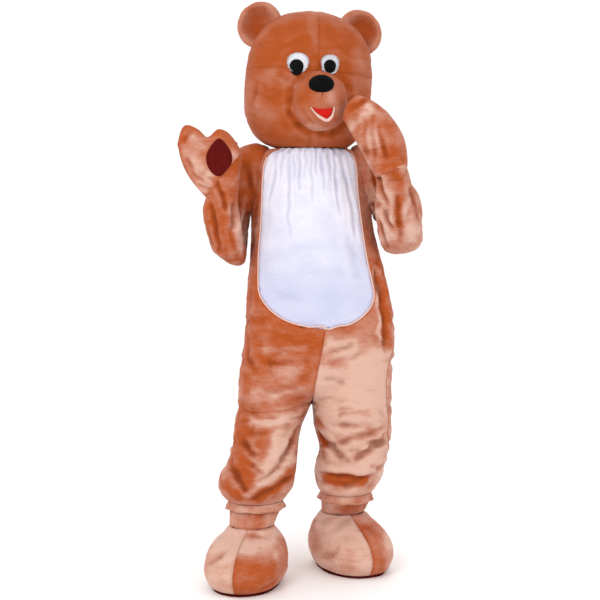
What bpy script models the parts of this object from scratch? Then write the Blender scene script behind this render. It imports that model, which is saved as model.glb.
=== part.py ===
"""A bear mascot costume on a general standing figure: jumpsuit, head, two mitts and two boots, in metres.

+X is the wearer's left, -Y the wearer's front and +Z up. The origin is at the neck, between the shoulders.
A side is -1 for the wearer's right and +1 for the left, and sizes called x are measured outwards from the
middle plane. "down" is measured from the origin towards the floor, "up" from the floor.
"""

import math
from types import SimpleNamespace

import bmesh
import bpy
import numpy as np
from mathutils import Matrix, Vector

SIDES = (("right", -1), ("left", 1))

# Cloth and seams
PLUSH = 0.0025
FOAM = 0.012
SEAM = 0.0003
FIT = 0.0006
CUFF_EASE = 0.0007

# Heights
FLOOR = -1.390
NECK_DOWN = 0.004
BELLY_SQUARE_DOWN = 0.465
BELLY_END_DOWN = 0.585
RISE_TOP_DOWN = 0.660
CROTCH_DOWN = 0.852
HEM_DOWN = 1.144
ZIP_END_DOWN = 0.560
RISE_POWER = 6
RISE_FADE = 0.3

# Counts that set how finely the pieces are cut
FRONT_STEPS = 8
BACK_STEPS = 6
BELLY_GATHERS = 8
STEPS_PER_GATHER = 3
GATHER_DEPTH = 0.0055
GATHER_LENGTH = 0.16
SLEEVE_STEPS = 12
HEM_WAVES = 9
SHAFT_GATHERS = 10

# Colours
BEAR = (0.50, 0.19, 0.075)
BEAR_PALE = (0.62, 0.36, 0.25)
WHITE = (0.83, 0.82, 0.86)
MAROON = (0.09, 0.010, 0.010)
BLACK = (0.008, 0.008, 0.009)
RED = (0.70, 0.03, 0.02)
PINK = (0.85, 0.62, 0.58)
BRASS = (0.50, 0.38, 0.20)


class Table:
    """Rows of sizes under named columns. at() reads them on a smooth curve along the first column."""

    def __init__(self, columns, *rows):
        self.names = columns.split()[1:]
        values = np.array(rows, float)
        self.place, self.sizes = values[:, 0], values[:, 1:]
        self.slope = np.gradient(self.sizes, self.place, axis=0)

    def at(self, place):
        place = np.clip(np.asarray(place, float), self.place[0], self.place[-1])
        row = np.clip(np.searchsorted(self.place, place, side="right") - 1, 0, len(self.place) - 2)
        span = (self.place[row + 1] - self.place[row])[..., None]
        t = (place - self.place[row])[..., None] / span
        sizes = (
            (1 + 2 * t) * (1 - t) ** 2 * self.sizes[row]
            + t * (1 - t) ** 2 * span * self.slope[row]
            + t * t * (3 - 2 * t) * self.sizes[row + 1]
            + t * t * (t - 1) * span * self.slope[row + 1]
        )
        return SimpleNamespace(**dict(zip(self.names, np.moveaxis(sizes, -1, 0))))


# The torso: half widths, front and back depths, how square it is, and how far the front seam is pulled aside
TORSO = Table(
    "down side_down right left front back square pull",
    (0.004, 0.004, 0.133, 0.109, -0.131, 0.107, 2.0, 0.000),
    (0.026, 0.010, 0.157, 0.136, -0.138, 0.119, 2.1, 0.000),
    (0.055, 0.026, 0.177, 0.160, -0.143, 0.131, 2.2, 0.000),
    (0.100, 0.060, 0.192, 0.176, -0.148, 0.142, 2.3, 0.000),
    (0.150, 0.115, 0.199, 0.185, -0.151, 0.150, 2.3, 0.000),
    (0.210, 0.190, 0.203, 0.192, -0.154, 0.155, 2.4, 0.002),
    (0.280, 0.275, 0.205, 0.203, -0.158, 0.160, 2.4, 0.006),
    (0.373, 0.373, 0.214, 0.221, -0.163, 0.165, 2.4, 0.015),
    (0.450, 0.450, 0.228, 0.235, -0.168, 0.170, 2.4, 0.028),
    (0.520, 0.520, 0.238, 0.244, -0.172, 0.175, 2.4, 0.038),
    (0.600, 0.600, 0.243, 0.252, -0.174, 0.180, 2.4, 0.040),
    (0.680, 0.680, 0.244, 0.259, -0.173, 0.182, 2.4, 0.028),
    (0.760, 0.760, 0.244, 0.264, -0.170, 0.180, 2.4, 0.012),
    (0.852, 0.852, 0.248, 0.267, -0.168, 0.172, 2.4, 0.000),
)

# The legs: the right one steps forward, and both puff out over the elastic at the hem
LEG = {
    -1: Table(
        "down inner outer front back square",
        (0.852, 0.0006, 0.248, -0.168, 0.172, 2.4),
        (0.880, 0.014, 0.252, -0.172, 0.158, 2.4),
        (0.907, 0.028, 0.257, -0.182, 0.139, 2.4),
        (0.969, 0.044, 0.264, -0.212, 0.086, 2.3),
        (1.028, 0.050, 0.278, -0.245, 0.035, 2.2),
        (1.074, 0.058, 0.304, -0.275, 0.000, 2.2),
        (1.105, 0.064, 0.305, -0.284, -0.020, 2.1),
        (1.130, 0.084, 0.292, -0.276, -0.045, 2.0),
        (1.144, 0.096, 0.275, -0.262, -0.075, 2.0),
    ),
    1: Table(
        "down inner outer front back square",
        (0.852, 0.0006, 0.267, -0.168, 0.172, 2.4),
        (0.880, 0.002, 0.268, -0.166, 0.171, 2.4),
        (0.908, 0.004, 0.269, -0.163, 0.167, 2.4),
        (0.955, 0.012, 0.267, -0.160, 0.158, 2.3),
        (0.996, 0.024, 0.262, -0.158, 0.150, 2.3),
        (1.020, 0.022, 0.256, -0.160, 0.142, 2.2),
        (1.072, 0.008, 0.240, -0.163, 0.120, 2.2),
        (1.105, 0.010, 0.230, -0.160, 0.105, 2.1),
        (1.130, 0.018, 0.212, -0.152, 0.090, 2.0),
        (1.144, 0.027, 0.198, -0.142, 0.070, 2.0),
    ),
}

# Half widths of the belly panel from the front seam line, down to where it starts to round off
BELLY = Table(
    "down right left",
    (0.004, 0.098, 0.090),
    (0.030, 0.128, 0.118),
    (0.060, 0.148, 0.134),
    (0.100, 0.157, 0.142),
    (0.173, 0.163, 0.147),
    (0.260, 0.172, 0.155),
    (0.373, 0.191, 0.163),
    (0.465, 0.205, 0.167),
)

# Where the side seam runs, as a share of the way from the front seam to the back seam
SIDE_SEAM = Table(
    "down right left",
    (0.004, 0.50, 0.50),
    (0.200, 0.50, 0.47),
    (0.400, 0.50, 0.41),
    (0.600, 0.49, 0.37),
    (0.852, 0.46, 0.40),
    (1.000, 0.47, 0.44),
    (1.144, 0.50, 0.50),
)

# Sections of the sleeves from the armhole to the hand. turn swings a section from the upper arm (0) round
# the elbow to the forearm (180), and tilt tips its width upwards at the outside, both in degrees
SLEEVE = {
    -1: Table(
        "row x y z turn tilt width depth",
        (0, 0.166, 0.000, -0.101, 0, 103, 0.105, 0.078),
        (1, 0.202, 0.004, -0.100, 0, 91, 0.116, 0.080),
        (2, 0.238, 0.010, -0.130, 0, 73, 0.104, 0.079),
        (3, 0.266, 0.016, -0.180, 0, 49, 0.087, 0.077),
        (4, 0.277, 0.018, -0.232, 0, 30, 0.075, 0.072),
        (5, 0.276, 0.009, -0.270, 25, 24, 0.070, 0.066),
        (6, 0.274, -0.036, -0.313, 65, 26, 0.066, 0.060),
        (7, 0.276, -0.099, -0.319, 105, 24, 0.064, 0.058),
        (8, 0.284, -0.150, -0.283, 145, 14, 0.060, 0.056),
        (9, 0.292, -0.170, -0.214, 172, -8, 0.056, 0.054),
        (10, 0.288, -0.184, -0.148, 180, -34, 0.066, 0.053),
        (11, 0.280, -0.195, -0.096, 180, -51, 0.089, 0.050),
        (12, 0.294, -0.199, -0.084, 180, -51, 0.070, 0.040),
    ),
    1: Table(
        "row x y z turn tilt width depth",
        (0, 0.152, 0.000, -0.100, 0, 103, 0.103, 0.078),
        (1, 0.190, 0.004, -0.100, 0, 91, 0.113, 0.080),
        (2, 0.232, 0.010, -0.128, 0, 73, 0.103, 0.080),
        (3, 0.266, 0.016, -0.175, 0, 49, 0.088, 0.078),
        (4, 0.289, 0.018, -0.208, 0, 30, 0.080, 0.072),
        (5, 0.298, 0.010, -0.243, 25, 16, 0.072, 0.063),
        (6, 0.297, -0.034, -0.286, 65, 10, 0.067, 0.058),
        (7, 0.290, -0.094, -0.292, 105, 6, 0.071, 0.057),
        (8, 0.278, -0.143, -0.254, 145, 4, 0.070, 0.056),
        (9, 0.267, -0.170, -0.188, 172, 8, 0.068, 0.058),
        (10, 0.256, -0.197, -0.130, 180, 16, 0.058, 0.060),
        (11, 0.249, -0.215, -0.085, 180, 22, 0.052, 0.064),
        (12, 0.245, -0.220, -0.067, 180, 24, 0.042, 0.052),
    ),
}
ARMHOLE_ROWS = (0, 0.7, 1.4, 2)
SLEEVE_ROWS = (*ARMHOLE_ROWS, 3, 4, 4.8, 5.6, 6.3, 7, 7.7, 8.4, 9.2, 10, 11, 12)
CUFF_ROW = 11

# The far edge of each mitt seen from the front, from its outer side over the fingers and thumb
MITT_EDGE = {
    -1: Table(
        "across x z",
        (0.00, 0.424, 0.002),
        (0.12, 0.410, 0.050),
        (0.25, 0.385, 0.060),
        (0.40, 0.352, 0.043),
        (0.52, 0.330, 0.024),
        (0.66, 0.302, 0.048),
        (0.78, 0.275, 0.045),
        (0.90, 0.254, 0.026),
        (1.00, 0.238, 0.004),
    ),
    1: Table(
        "across x z",
        (0.00, 0.232, 0.101),
        (0.20, 0.198, 0.127),
        (0.42, 0.162, 0.144),
        (0.60, 0.132, 0.149),
        (0.78, 0.108, 0.126),
        (0.90, 0.096, 0.102),
        (1.00, 0.094, 0.078),
    ),
}
# How far the outer side of each mitt bows out, how steeply it leans forward, and half its thickness
MITT = {
    -1: SimpleNamespace(bow=(0.018, -0.004), lean=-0.28, thick=0.038),
    1: SimpleNamespace(bow=(0.020, 0.004), lean=-0.25, thick=0.038),
}
# The right palm faces forwards, and the left one turns towards the face
PALM_FACE = {-1: -1, 1: 1}
# Palm pads: their middle seen from the front, half sizes, and how they lean
PAD = {
    -1: SimpleNamespace(x=0.293, z=-0.041, width=0.040, height=0.058, lean=0.0, seat=0.0009),
    1: SimpleNamespace(x=0.208, z=0.010, width=0.038, height=0.055, lean=0.45, seat=0.0018),
}
PATCH_SEAT = 0.0009
PAD_THICK = 0.0016

# Boots: the ankle's place, how far the toe turns out, and sections from the sole up to the ankle
ANKLE = {
    -1: SimpleNamespace(x=0.196, y=-0.214, turnout=math.radians(12)),
    1: SimpleNamespace(x=0.103, y=-0.022, turnout=math.radians(22)),
}
FOOT = Table(
    "up width toe heel",
    (0.0053, 0.102, 0.214, 0.088),
    (0.030, 0.121, 0.237, 0.102),
    (0.065, 0.128, 0.242, 0.110),
    (0.100, 0.124, 0.220, 0.108),
    (0.128, 0.112, 0.178, 0.101),
    (0.148, 0.096, 0.126, 0.093),
    (0.163, 0.079, 0.087, 0.081),
    (0.175, 0.073, 0.072, 0.075),
)
FOOT_SHARES = (0, 0.1, 0.26, 0.46, 0.66, 0.82, 0.92, 1)
SOLE_THICK = 0.005
SHAFT_TUCK = 0.020
TUCK_EASE = 0.0045
SHAFT_OUT = 0.0003
FRILL = 0.022
FRILL_FLARE = 0.009
FRILL_WAVE = 0.003
SHAFT_GATHER_DEPTH = 0.0015

# The head: half sizes of its ball, how square it is above and below the cheeks, and its pose
HEAD = SimpleNamespace(
    centre=Vector((-0.012, -0.012, 0.219)),
    width=0.208,
    depth=0.206,
    above=0.221,
    below=0.235,
    round_plan=2.1,
    square_above=2.35,
    square_below=3.2,
    turn=math.radians(7.5),
    roll=math.radians(4.5),
    cheek=math.radians(86),
)
MUZZLE = SimpleNamespace(centre=Vector((0.023, -0.196, 0.138)), half=Vector((0.088, 0.092, 0.095)))
NOSE = SimpleNamespace(centre=Vector((0.026, -0.276, 0.184)), half=Vector((0.040, 0.026, 0.029)))
EAR = SimpleNamespace(lean=math.radians(8), flare=math.radians(14))
EAR_PLACE = {-1: Vector((-0.172, 0.004, 0.400)), 1: Vector((0.155, 0.004, 0.374))}
EAR_TILT = {-1: math.radians(-24), 1: math.radians(20)}
# The ear's turned profile: distance from its middle, and depth from front to back
EAR_PROFILE = (
    (0.000, 0.010),
    (0.024, 0.008),
    (0.044, 0.000),
    (0.060, -0.010),
    (0.071, -0.012),
    (0.077, -0.004),
    (0.076, 0.010),
    (0.066, 0.026),
    (0.042, 0.037),
    (0.000, 0.042),
)
EYE = {-1: SimpleNamespace(x=-0.046, z=0.263), 1: SimpleNamespace(x=0.054, z=0.257)}
EYE_HALF = {-1: (0.033, 0.040), 1: (0.027, 0.037)}
PUPIL = {-1: SimpleNamespace(x=-0.050, z=0.244), 1: SimpleNamespace(x=0.052, z=0.247)}
PUPIL_HALF = {-1: (0.021, 0.028), 1: (0.018, 0.024)}
EYE_LIFT = 0.007
PUPIL_LIFT = 0.006
MOUTH_MIDDLE = (0.030, 0.097)
MOUTH_EDGE = (
    (-0.001, 0.112),
    (0.015, 0.107),
    (0.030, 0.106),
    (0.046, 0.108),
    (0.059, 0.112),
    (0.056, 0.094),
    (0.048, 0.076),
    (0.041, 0.071),
    (0.028, 0.079),
    (0.012, 0.095),
)
MOUTH_THICK = 0.0015
LIP_RADIUS = 0.0035

# The zip in the back seam
ZIP_GAP = 0.004
ZIP_TAPE_HALF = 0.009
ZIP_TAPE_THICK = 0.0012
TAPE_SEAT = 0.0009
SLIDER_DOWN = 0.048
SLIDER = SimpleNamespace(width=0.0072, height=0.011, thick=0.0034)
PULL = SimpleNamespace(width=0.006, length=0.032, thick=0.0016, gap=0.0004)

# The largest folds, as soft ridges (rise above 0) and troughs along lines seen from the front or the back
FOLDS = Table(
    "row x0 z0 x1 z1 width rise facing",
    (0, -0.292, -1.043, -0.209, -1.108, 0.024, 0.010, -1),
    (1, -0.209, -1.108, -0.059, -1.018, 0.024, 0.010, -1),
    (2, -0.262, -1.010, -0.212, -1.060, 0.024, -0.008, -1),
    (3, -0.233, -0.943, -0.195, -0.985, 0.026, -0.009, -1),
    (4, -0.092, -1.002, -0.043, -0.919, 0.026, -0.009, -1),
    (5, 0.012, -0.939, 0.107, -1.022, 0.026, -0.010, -1),
    (6, 0.123, -1.025, 0.246, -0.952, 0.026, -0.008, -1),
    (7, 0.025, -1.050, 0.190, -1.052, 0.022, 0.009, -1),
    (8, 0.031, -1.092, 0.175, -1.094, 0.018, -0.008, -1),
    (9, 0.225, -0.378, 0.258, -0.655, 0.024, 0.008, -1),
    (10, -0.234, -0.658, -0.150, -0.735, 0.028, -0.007, -1),
    (11, 0.031, -0.675, 0.170, -0.640, 0.028, -0.007, -1),
    (12, 0.040, -0.905, 0.220, -0.918, 0.028, -0.007, -1),
    (13, -0.180, -0.560, -0.040, -0.640, 0.030, -0.008, 1),
    (14, 0.190, -0.560, 0.040, -0.660, 0.030, -0.008, 1),
    (15, -0.250, -0.960, -0.090, -1.010, 0.028, -0.010, 1),
    (16, 0.050, -1.010, 0.220, -0.970, 0.028, -0.010, 1),
    (17, -0.240, -1.080, -0.110, -1.060, 0.024, 0.009, 1),
    (18, 0.040, -1.060, 0.190, -1.080, 0.024, 0.009, 1),
)


def new_collection(name, hidden=False):
    collection = bpy.data.collections.new(name)
    bpy.context.scene.collection.children.link(collection)
    collection.hide_render = hidden
    return collection


def material(name, colour, roughness=0.9, metallic=0.0):
    made = bpy.data.materials.new(name)
    made.use_nodes = True
    made.diffuse_color = (*colour, 1)
    shader = made.node_tree.nodes["Principled BSDF"]
    shader.inputs["Base Color"].default_value = (*colour, 1)
    shader.inputs["Roughness"].default_value = roughness
    shader.inputs["Metallic"].default_value = metallic
    return made


def add_object(name, mesh, finish, place):
    """Turns a finished bmesh into an object, with its faces pointing out and its edges smooth."""
    bmesh.ops.recalc_face_normals(mesh, faces=mesh.faces)
    if mesh.calc_volume(signed=True) < 0:
        bmesh.ops.reverse_faces(mesh, faces=mesh.faces)
    data = bpy.data.meshes.new(name)
    mesh.to_mesh(data)
    mesh.free()
    data.shade_smooth()
    data.set_sharp_from_angle(angle=math.radians(50))
    if finish:
        data.materials.append(finish)
    made = bpy.data.objects.new(name, data)
    place.objects.link(made)
    return made


def cut(target, cutter):
    boolean = target.modifiers.new("cut_" + cutter.name, "BOOLEAN")
    boolean.operation = "DIFFERENCE"
    boolean.solver = "EXACT"
    boolean.object = cutter


def as_cutter(made):
    made.hide_render = True
    made.display_type = "WIRE"
    return made


def squared(value, square):
    """A sine or cosine bent so that a circle becomes squarer as square grows above 2."""
    return np.sign(value) * np.abs(value) ** (2 / square)


def mix(a, b, share):
    return a + (b - a) * share


def smooth(start, end, value):
    t = np.clip((value - start) / (end - start), 0, 1)
    return t * t * (3 - 2 * t)


def points(x, y, z):
    return np.stack(np.broadcast_arrays(x, y, z), axis=-1)


def normals(surface, u, v, sign, low=0.0, high=1.0):
    """Unit normals of surface(u, v), which point outwards where sign suits the way u and v run."""
    small = 1e-3
    u0, u1 = np.clip(u - small, low, high), np.clip(u + small, low, high)
    along_u = surface(u1, v) - surface(u0, v)
    along_v = surface(u, v + small) - surface(u, v - small)
    normal = np.cross(along_v, along_u) * sign
    return normal / np.maximum(np.linalg.norm(normal, axis=-1, keepdims=True), 1e-12)


def wall(name, outer, inner, wrap, finish, place):
    """One closed wall between two grids of points that match. With wrap, the last column joins the first."""
    mesh = bmesh.new()
    outside, inside = [[[mesh.verts.new(p) for p in row] for row in grid] for grid in (outer, inner)]
    rows, columns = outer.shape[:2]

    def two_faces(a, b, c, d):
        mesh.faces.new((a, b, c))
        mesh.faces.new((a, c, d))

    steps = [(c, (c + 1) % columns) for c in range(columns if wrap else columns - 1)]
    for r in range(rows - 1):
        for c, d in steps:
            corners = ((r, c), (r, d), (r + 1, d), (r + 1, c))
            falling = np.linalg.norm(outer[r, c] - outer[r + 1, d])
            rising = np.linalg.norm(outer[r, d] - outer[r + 1, c])
            if rising < falling:
                corners = corners[1:] + corners[:1]
            two_faces(*(outside[i][k] for i, k in corners))
            two_faces(*(inside[i][k] for i, k in corners))
    for r in (0, rows - 1):
        for c, d in steps:
            two_faces(outside[r][c], outside[r][d], inside[r][d], inside[r][c])
    for c in () if wrap else (0, columns - 1):
        for r in range(rows - 1):
            two_faces(outside[r][c], outside[r + 1][c], inside[r + 1][c], inside[r][c])
    bmesh.ops.remove_doubles(mesh, verts=mesh.verts, dist=1e-6)
    return add_object(name, mesh, finish, place)


def tube(name, rings, finish, place):
    """A closed solid through rings of points, with a flat end at each side."""
    mesh = bmesh.new()
    grid = [[mesh.verts.new(p) for p in ring] for ring in rings]
    count = len(grid[0])
    for near, far in zip(grid, grid[1:]):
        for c in range(count):
            mesh.faces.new((near[c], near[(c + 1) % count], far[(c + 1) % count], far[c]))
    mesh.faces.new(grid[0][::-1])
    mesh.faces.new(grid[-1])
    return add_object(name, mesh, finish, place)


def cushion(name, spot, edge, rings, low, high, finish, place):
    """A patch that lies on a surface: spot(shares of edge) gives points and normals, low and high its faces."""
    mesh = bmesh.new()
    shares = np.arange(1, rings + 1) / rings
    faces = []
    for height in (high, low):
        middle, normal = spot(np.zeros((1, 2)))
        centre = mesh.verts.new((middle + normal * height(0.0))[0])
        rows = []
        for share in shares:
            where, normal = spot(edge * share)
            rows.append([mesh.verts.new(p) for p in where + normal * height(share)])
        faces.append((centre, rows))
    count = len(edge)
    for centre, rows in faces:
        for c in range(count):
            d = (c + 1) % count
            mesh.faces.new((centre, rows[0][c], rows[0][d]))
            for near, far in zip(rows, rows[1:]):
                mesh.faces.new((near[c], far[c], far[d], near[d]))
    top, bottom = faces[0][1][-1], faces[1][1][-1]
    for c in range(count):
        d = (c + 1) % count
        mesh.faces.new((top[c], bottom[c], bottom[d], top[d]))
    return add_object(name, mesh, finish, place)


# The jumpsuit's surface
def rise(u, down):
    """0 on the torso and 1 on the legs. At the front and back seams it follows their curve under the body."""
    share = np.clip((down - RISE_TOP_DOWN) / (CROTCH_DOWN - RISE_TOP_DOWN), 0, 1)
    at_seam = share**RISE_POWER
    elsewhere = smooth(RISE_TOP_DOWN - 0.04, CROTCH_DOWN, down)
    return mix(at_seam, elsewhere, smooth(0.0, RISE_FADE, u) * smooth(1.0, 1 - RISE_FADE, u))


def suit_point(side, u, down):
    """u runs from the front seam (0) round the side to the back seam (1), on a leg from inseam to inseam."""
    torso, leg = TORSO.at(down), LEG[side].at(down)
    turn = np.pi * (u - 0.5)
    outwards = np.clip(np.cos(turn), 0, 1)
    width = torso.left if side > 0 else torso.right
    depth = np.where(turn < 0, torso.front, torso.back)
    torso_x = side * width * squared(outwards, torso.square) + torso.pull * np.cos(np.pi * u / 2) ** 2
    torso_y = depth * squared(np.abs(np.sin(turn)), torso.square)
    round_leg = 2 * np.pi * u
    leg_x = (leg.outer + leg.inner) / 2 - (leg.outer - leg.inner) / 2 * squared(np.cos(round_leg), leg.square)
    leg_y = (leg.front + leg.back) / 2 - (leg.back - leg.front) / 2 * squared(np.sin(round_leg), leg.square)
    share = rise(u, down)
    x = mix(torso_x, side * leg_x, share)
    y = mix(torso_y, leg_y, share)
    z = -(down + (torso.side_down - down) * outwards**1.5 * (1 - share))
    return points(x, y, z)


def fold_height(place, normal):
    """How far the folds lift or sink the cloth at each place."""
    height = np.zeros(place.shape[:-1])
    for row in FOLDS.place:
        fold = FOLDS.at(row)
        start = np.array((fold.x0, fold.z0))
        run = np.array((fold.x1, fold.z1)) - start
        flat = place[..., (0, 2)] - start
        share = np.clip(flat @ run / (run @ run), 0, 1)
        away = np.linalg.norm(flat - share[..., None] * run, axis=-1)
        towards = np.clip(normal[..., 1] * fold.facing * 2, 0, 1)
        height += fold.rise * np.exp(-((away / fold.width) ** 2)) * towards
    return height


def suit_cloth(side, u, down, extra=0.0):
    """Outer and inner points of the jumpsuit's cloth."""
    place = suit_point(side, u, down)
    normal = normals(lambda a, b: suit_point(side, a, b), u, down, side)
    lift = fold_height(place, normal) * smooth(HEM_DOWN, HEM_DOWN - 0.03, down) + extra
    thick = PLUSH * (1 - 0.5 * np.exp(-(((down - CROTCH_DOWN) / 0.03) ** 2)))
    return place + normal * lift[..., None], place + normal * (lift - thick)[..., None]


def step_from(side, down, start, way, distance):
    """The place on each row that lies this far from start."""
    low, high = np.zeros_like(down), np.full_like(down, 0.5)
    origin = suit_point(side, start, down)
    for _ in range(40):
        middle = (low + high) / 2
        away = np.linalg.norm(suit_point(side, start + way * middle, down) - origin, axis=-1)
        low, high = np.where(away < distance, middle, low), np.where(away < distance, high, middle)
    return start + way * high


def belly_edge(side, down, half_width):
    """The place on each row that lies half_width to the side of the front seam line."""
    low, high = np.zeros_like(down), np.full_like(down, 0.5)
    origin = suit_point(side, 0 * down, down)[..., 0]
    for _ in range(40):
        middle = (low + high) / 2
        away = side * (suit_point(side, middle, down)[..., 0] - origin)
        low, high = np.where(away < half_width, middle, low), np.where(away < half_width, high, middle)
    return high


def belly_rows(grow):
    """Rows of the belly and its half widths on both sides, grown outwards over its edge."""
    straight = np.array([0.004, 0.028, 0.058, 0.10, 0.15, 0.20, 0.255, 0.31, 0.365, 0.42, BELLY_SQUARE_DOWN])
    turn = np.radians((15, 30, 45, 60, 75, 90))
    down = np.append(straight, BELLY_SQUARE_DOWN + (BELLY_END_DOWN - BELLY_SQUARE_DOWN + grow) * np.sin(turn))
    share = np.append(np.ones_like(straight), np.cos(turn))
    sizes = BELLY.at(np.minimum(down, BELLY_SQUARE_DOWN))
    return down, {-1: (sizes.right + grow) * share, 1: (sizes.left + grow) * share}


def lower_rows():
    """Rows below the belly, closer together where the seams turn under and at the hem."""
    turn = np.radians((0, 22, 42, 58, 71, 81, 90))
    seat = RISE_TOP_DOWN + (CROTCH_DOWN - RISE_TOP_DOWN) * np.sin(turn)
    leg = (0.880, 0.914, 0.946, 0.978, 1.010, 1.040, 1.068, 1.096, 1.122, HEM_DOWN)
    return np.concatenate(([0.622], seat, leg))


def between(start, end, steps):
    shares = np.linspace(0, 1, steps + 1)
    return mix(start[:, None], end[:, None], shares[None, :])


def build_front(side_name, side, finish, place, armhole):
    belly_down, half_width = belly_rows(SEAM / 2)
    down = np.concatenate((belly_down, lower_rows()))
    start = step_from(side, down, 0 * down, 1, SEAM / 2)
    start[: len(belly_down)] = np.maximum(
        start[: len(belly_down)], belly_edge(side, belly_down, half_width[side])
    )
    seam = SIDE_SEAM.at(down)
    seam = seam.left if side > 0 else seam.right
    end = step_from(side, down, seam, -1, SEAM / 2)
    u = between(start, end, FRONT_STEPS)
    outer, inner = suit_cloth(side, u, np.broadcast_to(down[:, None], u.shape))
    made = wall("front_" + side_name, outer, inner, False, finish, place)
    cut(made, armhole)


def build_back(side_name, side, finish, place, armhole):
    down = np.concatenate((belly_rows(SEAM / 2)[0], lower_rows()))
    seam = SIDE_SEAM.at(down)
    seam = seam.left if side > 0 else seam.right
    start = step_from(side, down, seam, 1, SEAM / 2)
    gap = mix(ZIP_GAP, SEAM / 2, smooth(ZIP_END_DOWN, ZIP_END_DOWN + 0.02, down))
    end = step_from(side, down, np.ones_like(down), -1, gap)
    u = between(start, end, BACK_STEPS)
    outer, inner = suit_cloth(side, u, np.broadcast_to(down[:, None], u.shape))
    made = wall("back_" + side_name, outer, inner, False, finish, place)
    cut(made, armhole)


def build_belly(finish, place):
    """One panel across the front, gathered into the neckline."""
    down, half_width = belly_rows(-SEAM / 2)
    columns = BELLY_GATHERS * STEPS_PER_GATHER
    halves = []
    for side in (-1, 1):
        edge = belly_edge(side, down, half_width[side])
        edge[-1] = step_from(side, down[-1:], np.zeros(1), 1, 0.002)[0]
        u = between(0 * edge, edge, columns // 2)
        rows = np.broadcast_to(down[:, None], u.shape)
        across = np.linspace(0, 0.5, columns // 2 + 1)[None, :] * side + 0.5
        fade = np.exp(-((rows - NECK_DOWN) / GATHER_LENGTH) ** 1.5)
        wave = GATHER_DEPTH * fade * (np.cos(2 * np.pi * BELLY_GATHERS * across) - 1) / 2
        wave *= smooth(0, 0.12, across) * smooth(1, 0.88, across)
        halves.append(suit_cloth(side, u, rows, wave))
    (right_outer, right_inner), (left_outer, left_inner) = halves
    outer = np.concatenate((right_outer[:, :0:-1], left_outer), axis=1)
    inner = np.concatenate((right_inner[:, :0:-1], left_inner), axis=1)
    wall("belly_panel", outer, inner, False, finish, place)


# The sleeves
def sleeve_section(side, u, row, grow=0.0):
    at = SLEEVE[side].at(row)
    turn, tilt, around = np.radians(at.turn), np.radians(at.tilt), 2 * np.pi * u
    across = (at.width + grow) * squared(np.cos(around), 2.3)
    deep = (at.depth + grow) * squared(np.sin(around), 2.3)
    x = at.x + across * np.cos(tilt)
    y = at.y + deep * np.cos(turn)
    z = at.z + across * np.sin(tilt) - deep * np.sin(turn)
    return points(side * x, y, z)


def build_sleeve(side_name, side, finish, place):
    u = np.arange(SLEEVE_STEPS) / SLEEVE_STEPS
    u, row = np.meshgrid(u, np.array(SLEEVE_ROWS))
    outer = sleeve_section(side, u, row)
    normal = normals(lambda a, b: sleeve_section(side, a, b), u, row, side, -1, 2)
    wall("sleeve_" + side_name, outer, outer - normal * PLUSH, True, finish, place)


def armhole_cutter(side_name, side, place):
    u = np.arange(SLEEVE_STEPS) / SLEEVE_STEPS
    rings = [sleeve_section(side, u, np.full_like(u, row), SEAM * 2) for row in ARMHOLE_ROWS]
    inwards = rings[0] - np.array((side * 0.03, 0, 0))
    return as_cutter(tube("armhole_" + side_name, [inwards, *rings], None, place))


# The mitts
def mitt_point(side, across, along, face, inset=0.0):
    """across runs from the outer side (0) to the thumb side (1), along from the cuff (0) to the far edge (1)."""
    cuff = SLEEVE[side].at(float(CUFF_ROW))
    edge, mitt = MITT_EDGE[side].at(across), MITT[side]
    level = math.cos(math.radians(cuff.tilt)), math.sin(math.radians(cuff.tilt))
    ahead = -level[1], level[0]
    reach = (cuff.width + PLUSH + CUFF_EASE) * squared(np.cos(np.pi * across), 2.3)
    bow = np.sin(np.pi * along) * (1 - across) ** 2
    inwards = -inset * np.cos(np.pi * across)
    x = mix(cuff.x + reach * level[0], edge.x, along) + mitt.bow[0] * bow + inwards * level[0]
    z = mix(cuff.z + reach * level[1], edge.z, along) + mitt.bow[1] * bow + inwards * level[1]
    z = z - inset * along**4
    deep = mix(cuff.depth + PLUSH + CUFF_EASE, mitt.thick, smooth(0, 0.7, along)) - inset
    deep = deep * np.sqrt(np.clip(1 - along**6, 0, 1)) * squared(np.sin(np.pi * across), 2.3)
    middle = cuff.y + mitt.lean * ((x - cuff.x) * ahead[0] + (z - cuff.z) * ahead[1])
    return points(side * x, middle + face * (deep + SEAM / 2), z)


def build_mitt(side_name, side, finish, place):
    across = np.linspace(0, 1, SLEEVE_STEPS + 1)
    along = np.array((0, 0.24, 0.48, 0.7, 0.86, 0.96, 1))
    across, along = np.meshgrid(across, along)
    for name, face in (("mitt_palm_", PALM_FACE[side]), ("mitt_back_", -PALM_FACE[side])):
        outer = mitt_point(side, across, along, face)
        inner = mitt_point(side, across, along, face, PLUSH)
        wall(name + side_name, outer, inner, False, finish, place)


def palm_spot(side, x, z):
    """The palm's point and normal in front of or behind a place seen from the front."""
    face = PALM_FACE[side]
    across, along = np.full_like(x, 0.6), np.full_like(x, 0.5)
    small = 1e-4
    for _ in range(25):
        here = mitt_point(side, across, along, face)
        by_across = (mitt_point(side, across + small, along, face) - here) / small
        by_along = (mitt_point(side, across, along + small, face) - here) / small
        miss_x, miss_z = x - here[..., 0], z - here[..., 2]
        det = by_across[..., 0] * by_along[..., 2] - by_along[..., 0] * by_across[..., 2]
        across = np.clip(across + (miss_x * by_along[..., 2] - by_along[..., 0] * miss_z) / det, 0.05, 0.95)
        along = np.clip(along + (by_across[..., 0] * miss_z - miss_x * by_across[..., 2]) / det, 0.02, 0.95)
    surface = lambda a, b: mitt_point(side, a, np.clip(b, 0, 1), face)
    return surface(across, along), normals(surface, across, along, -side * face)


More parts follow.
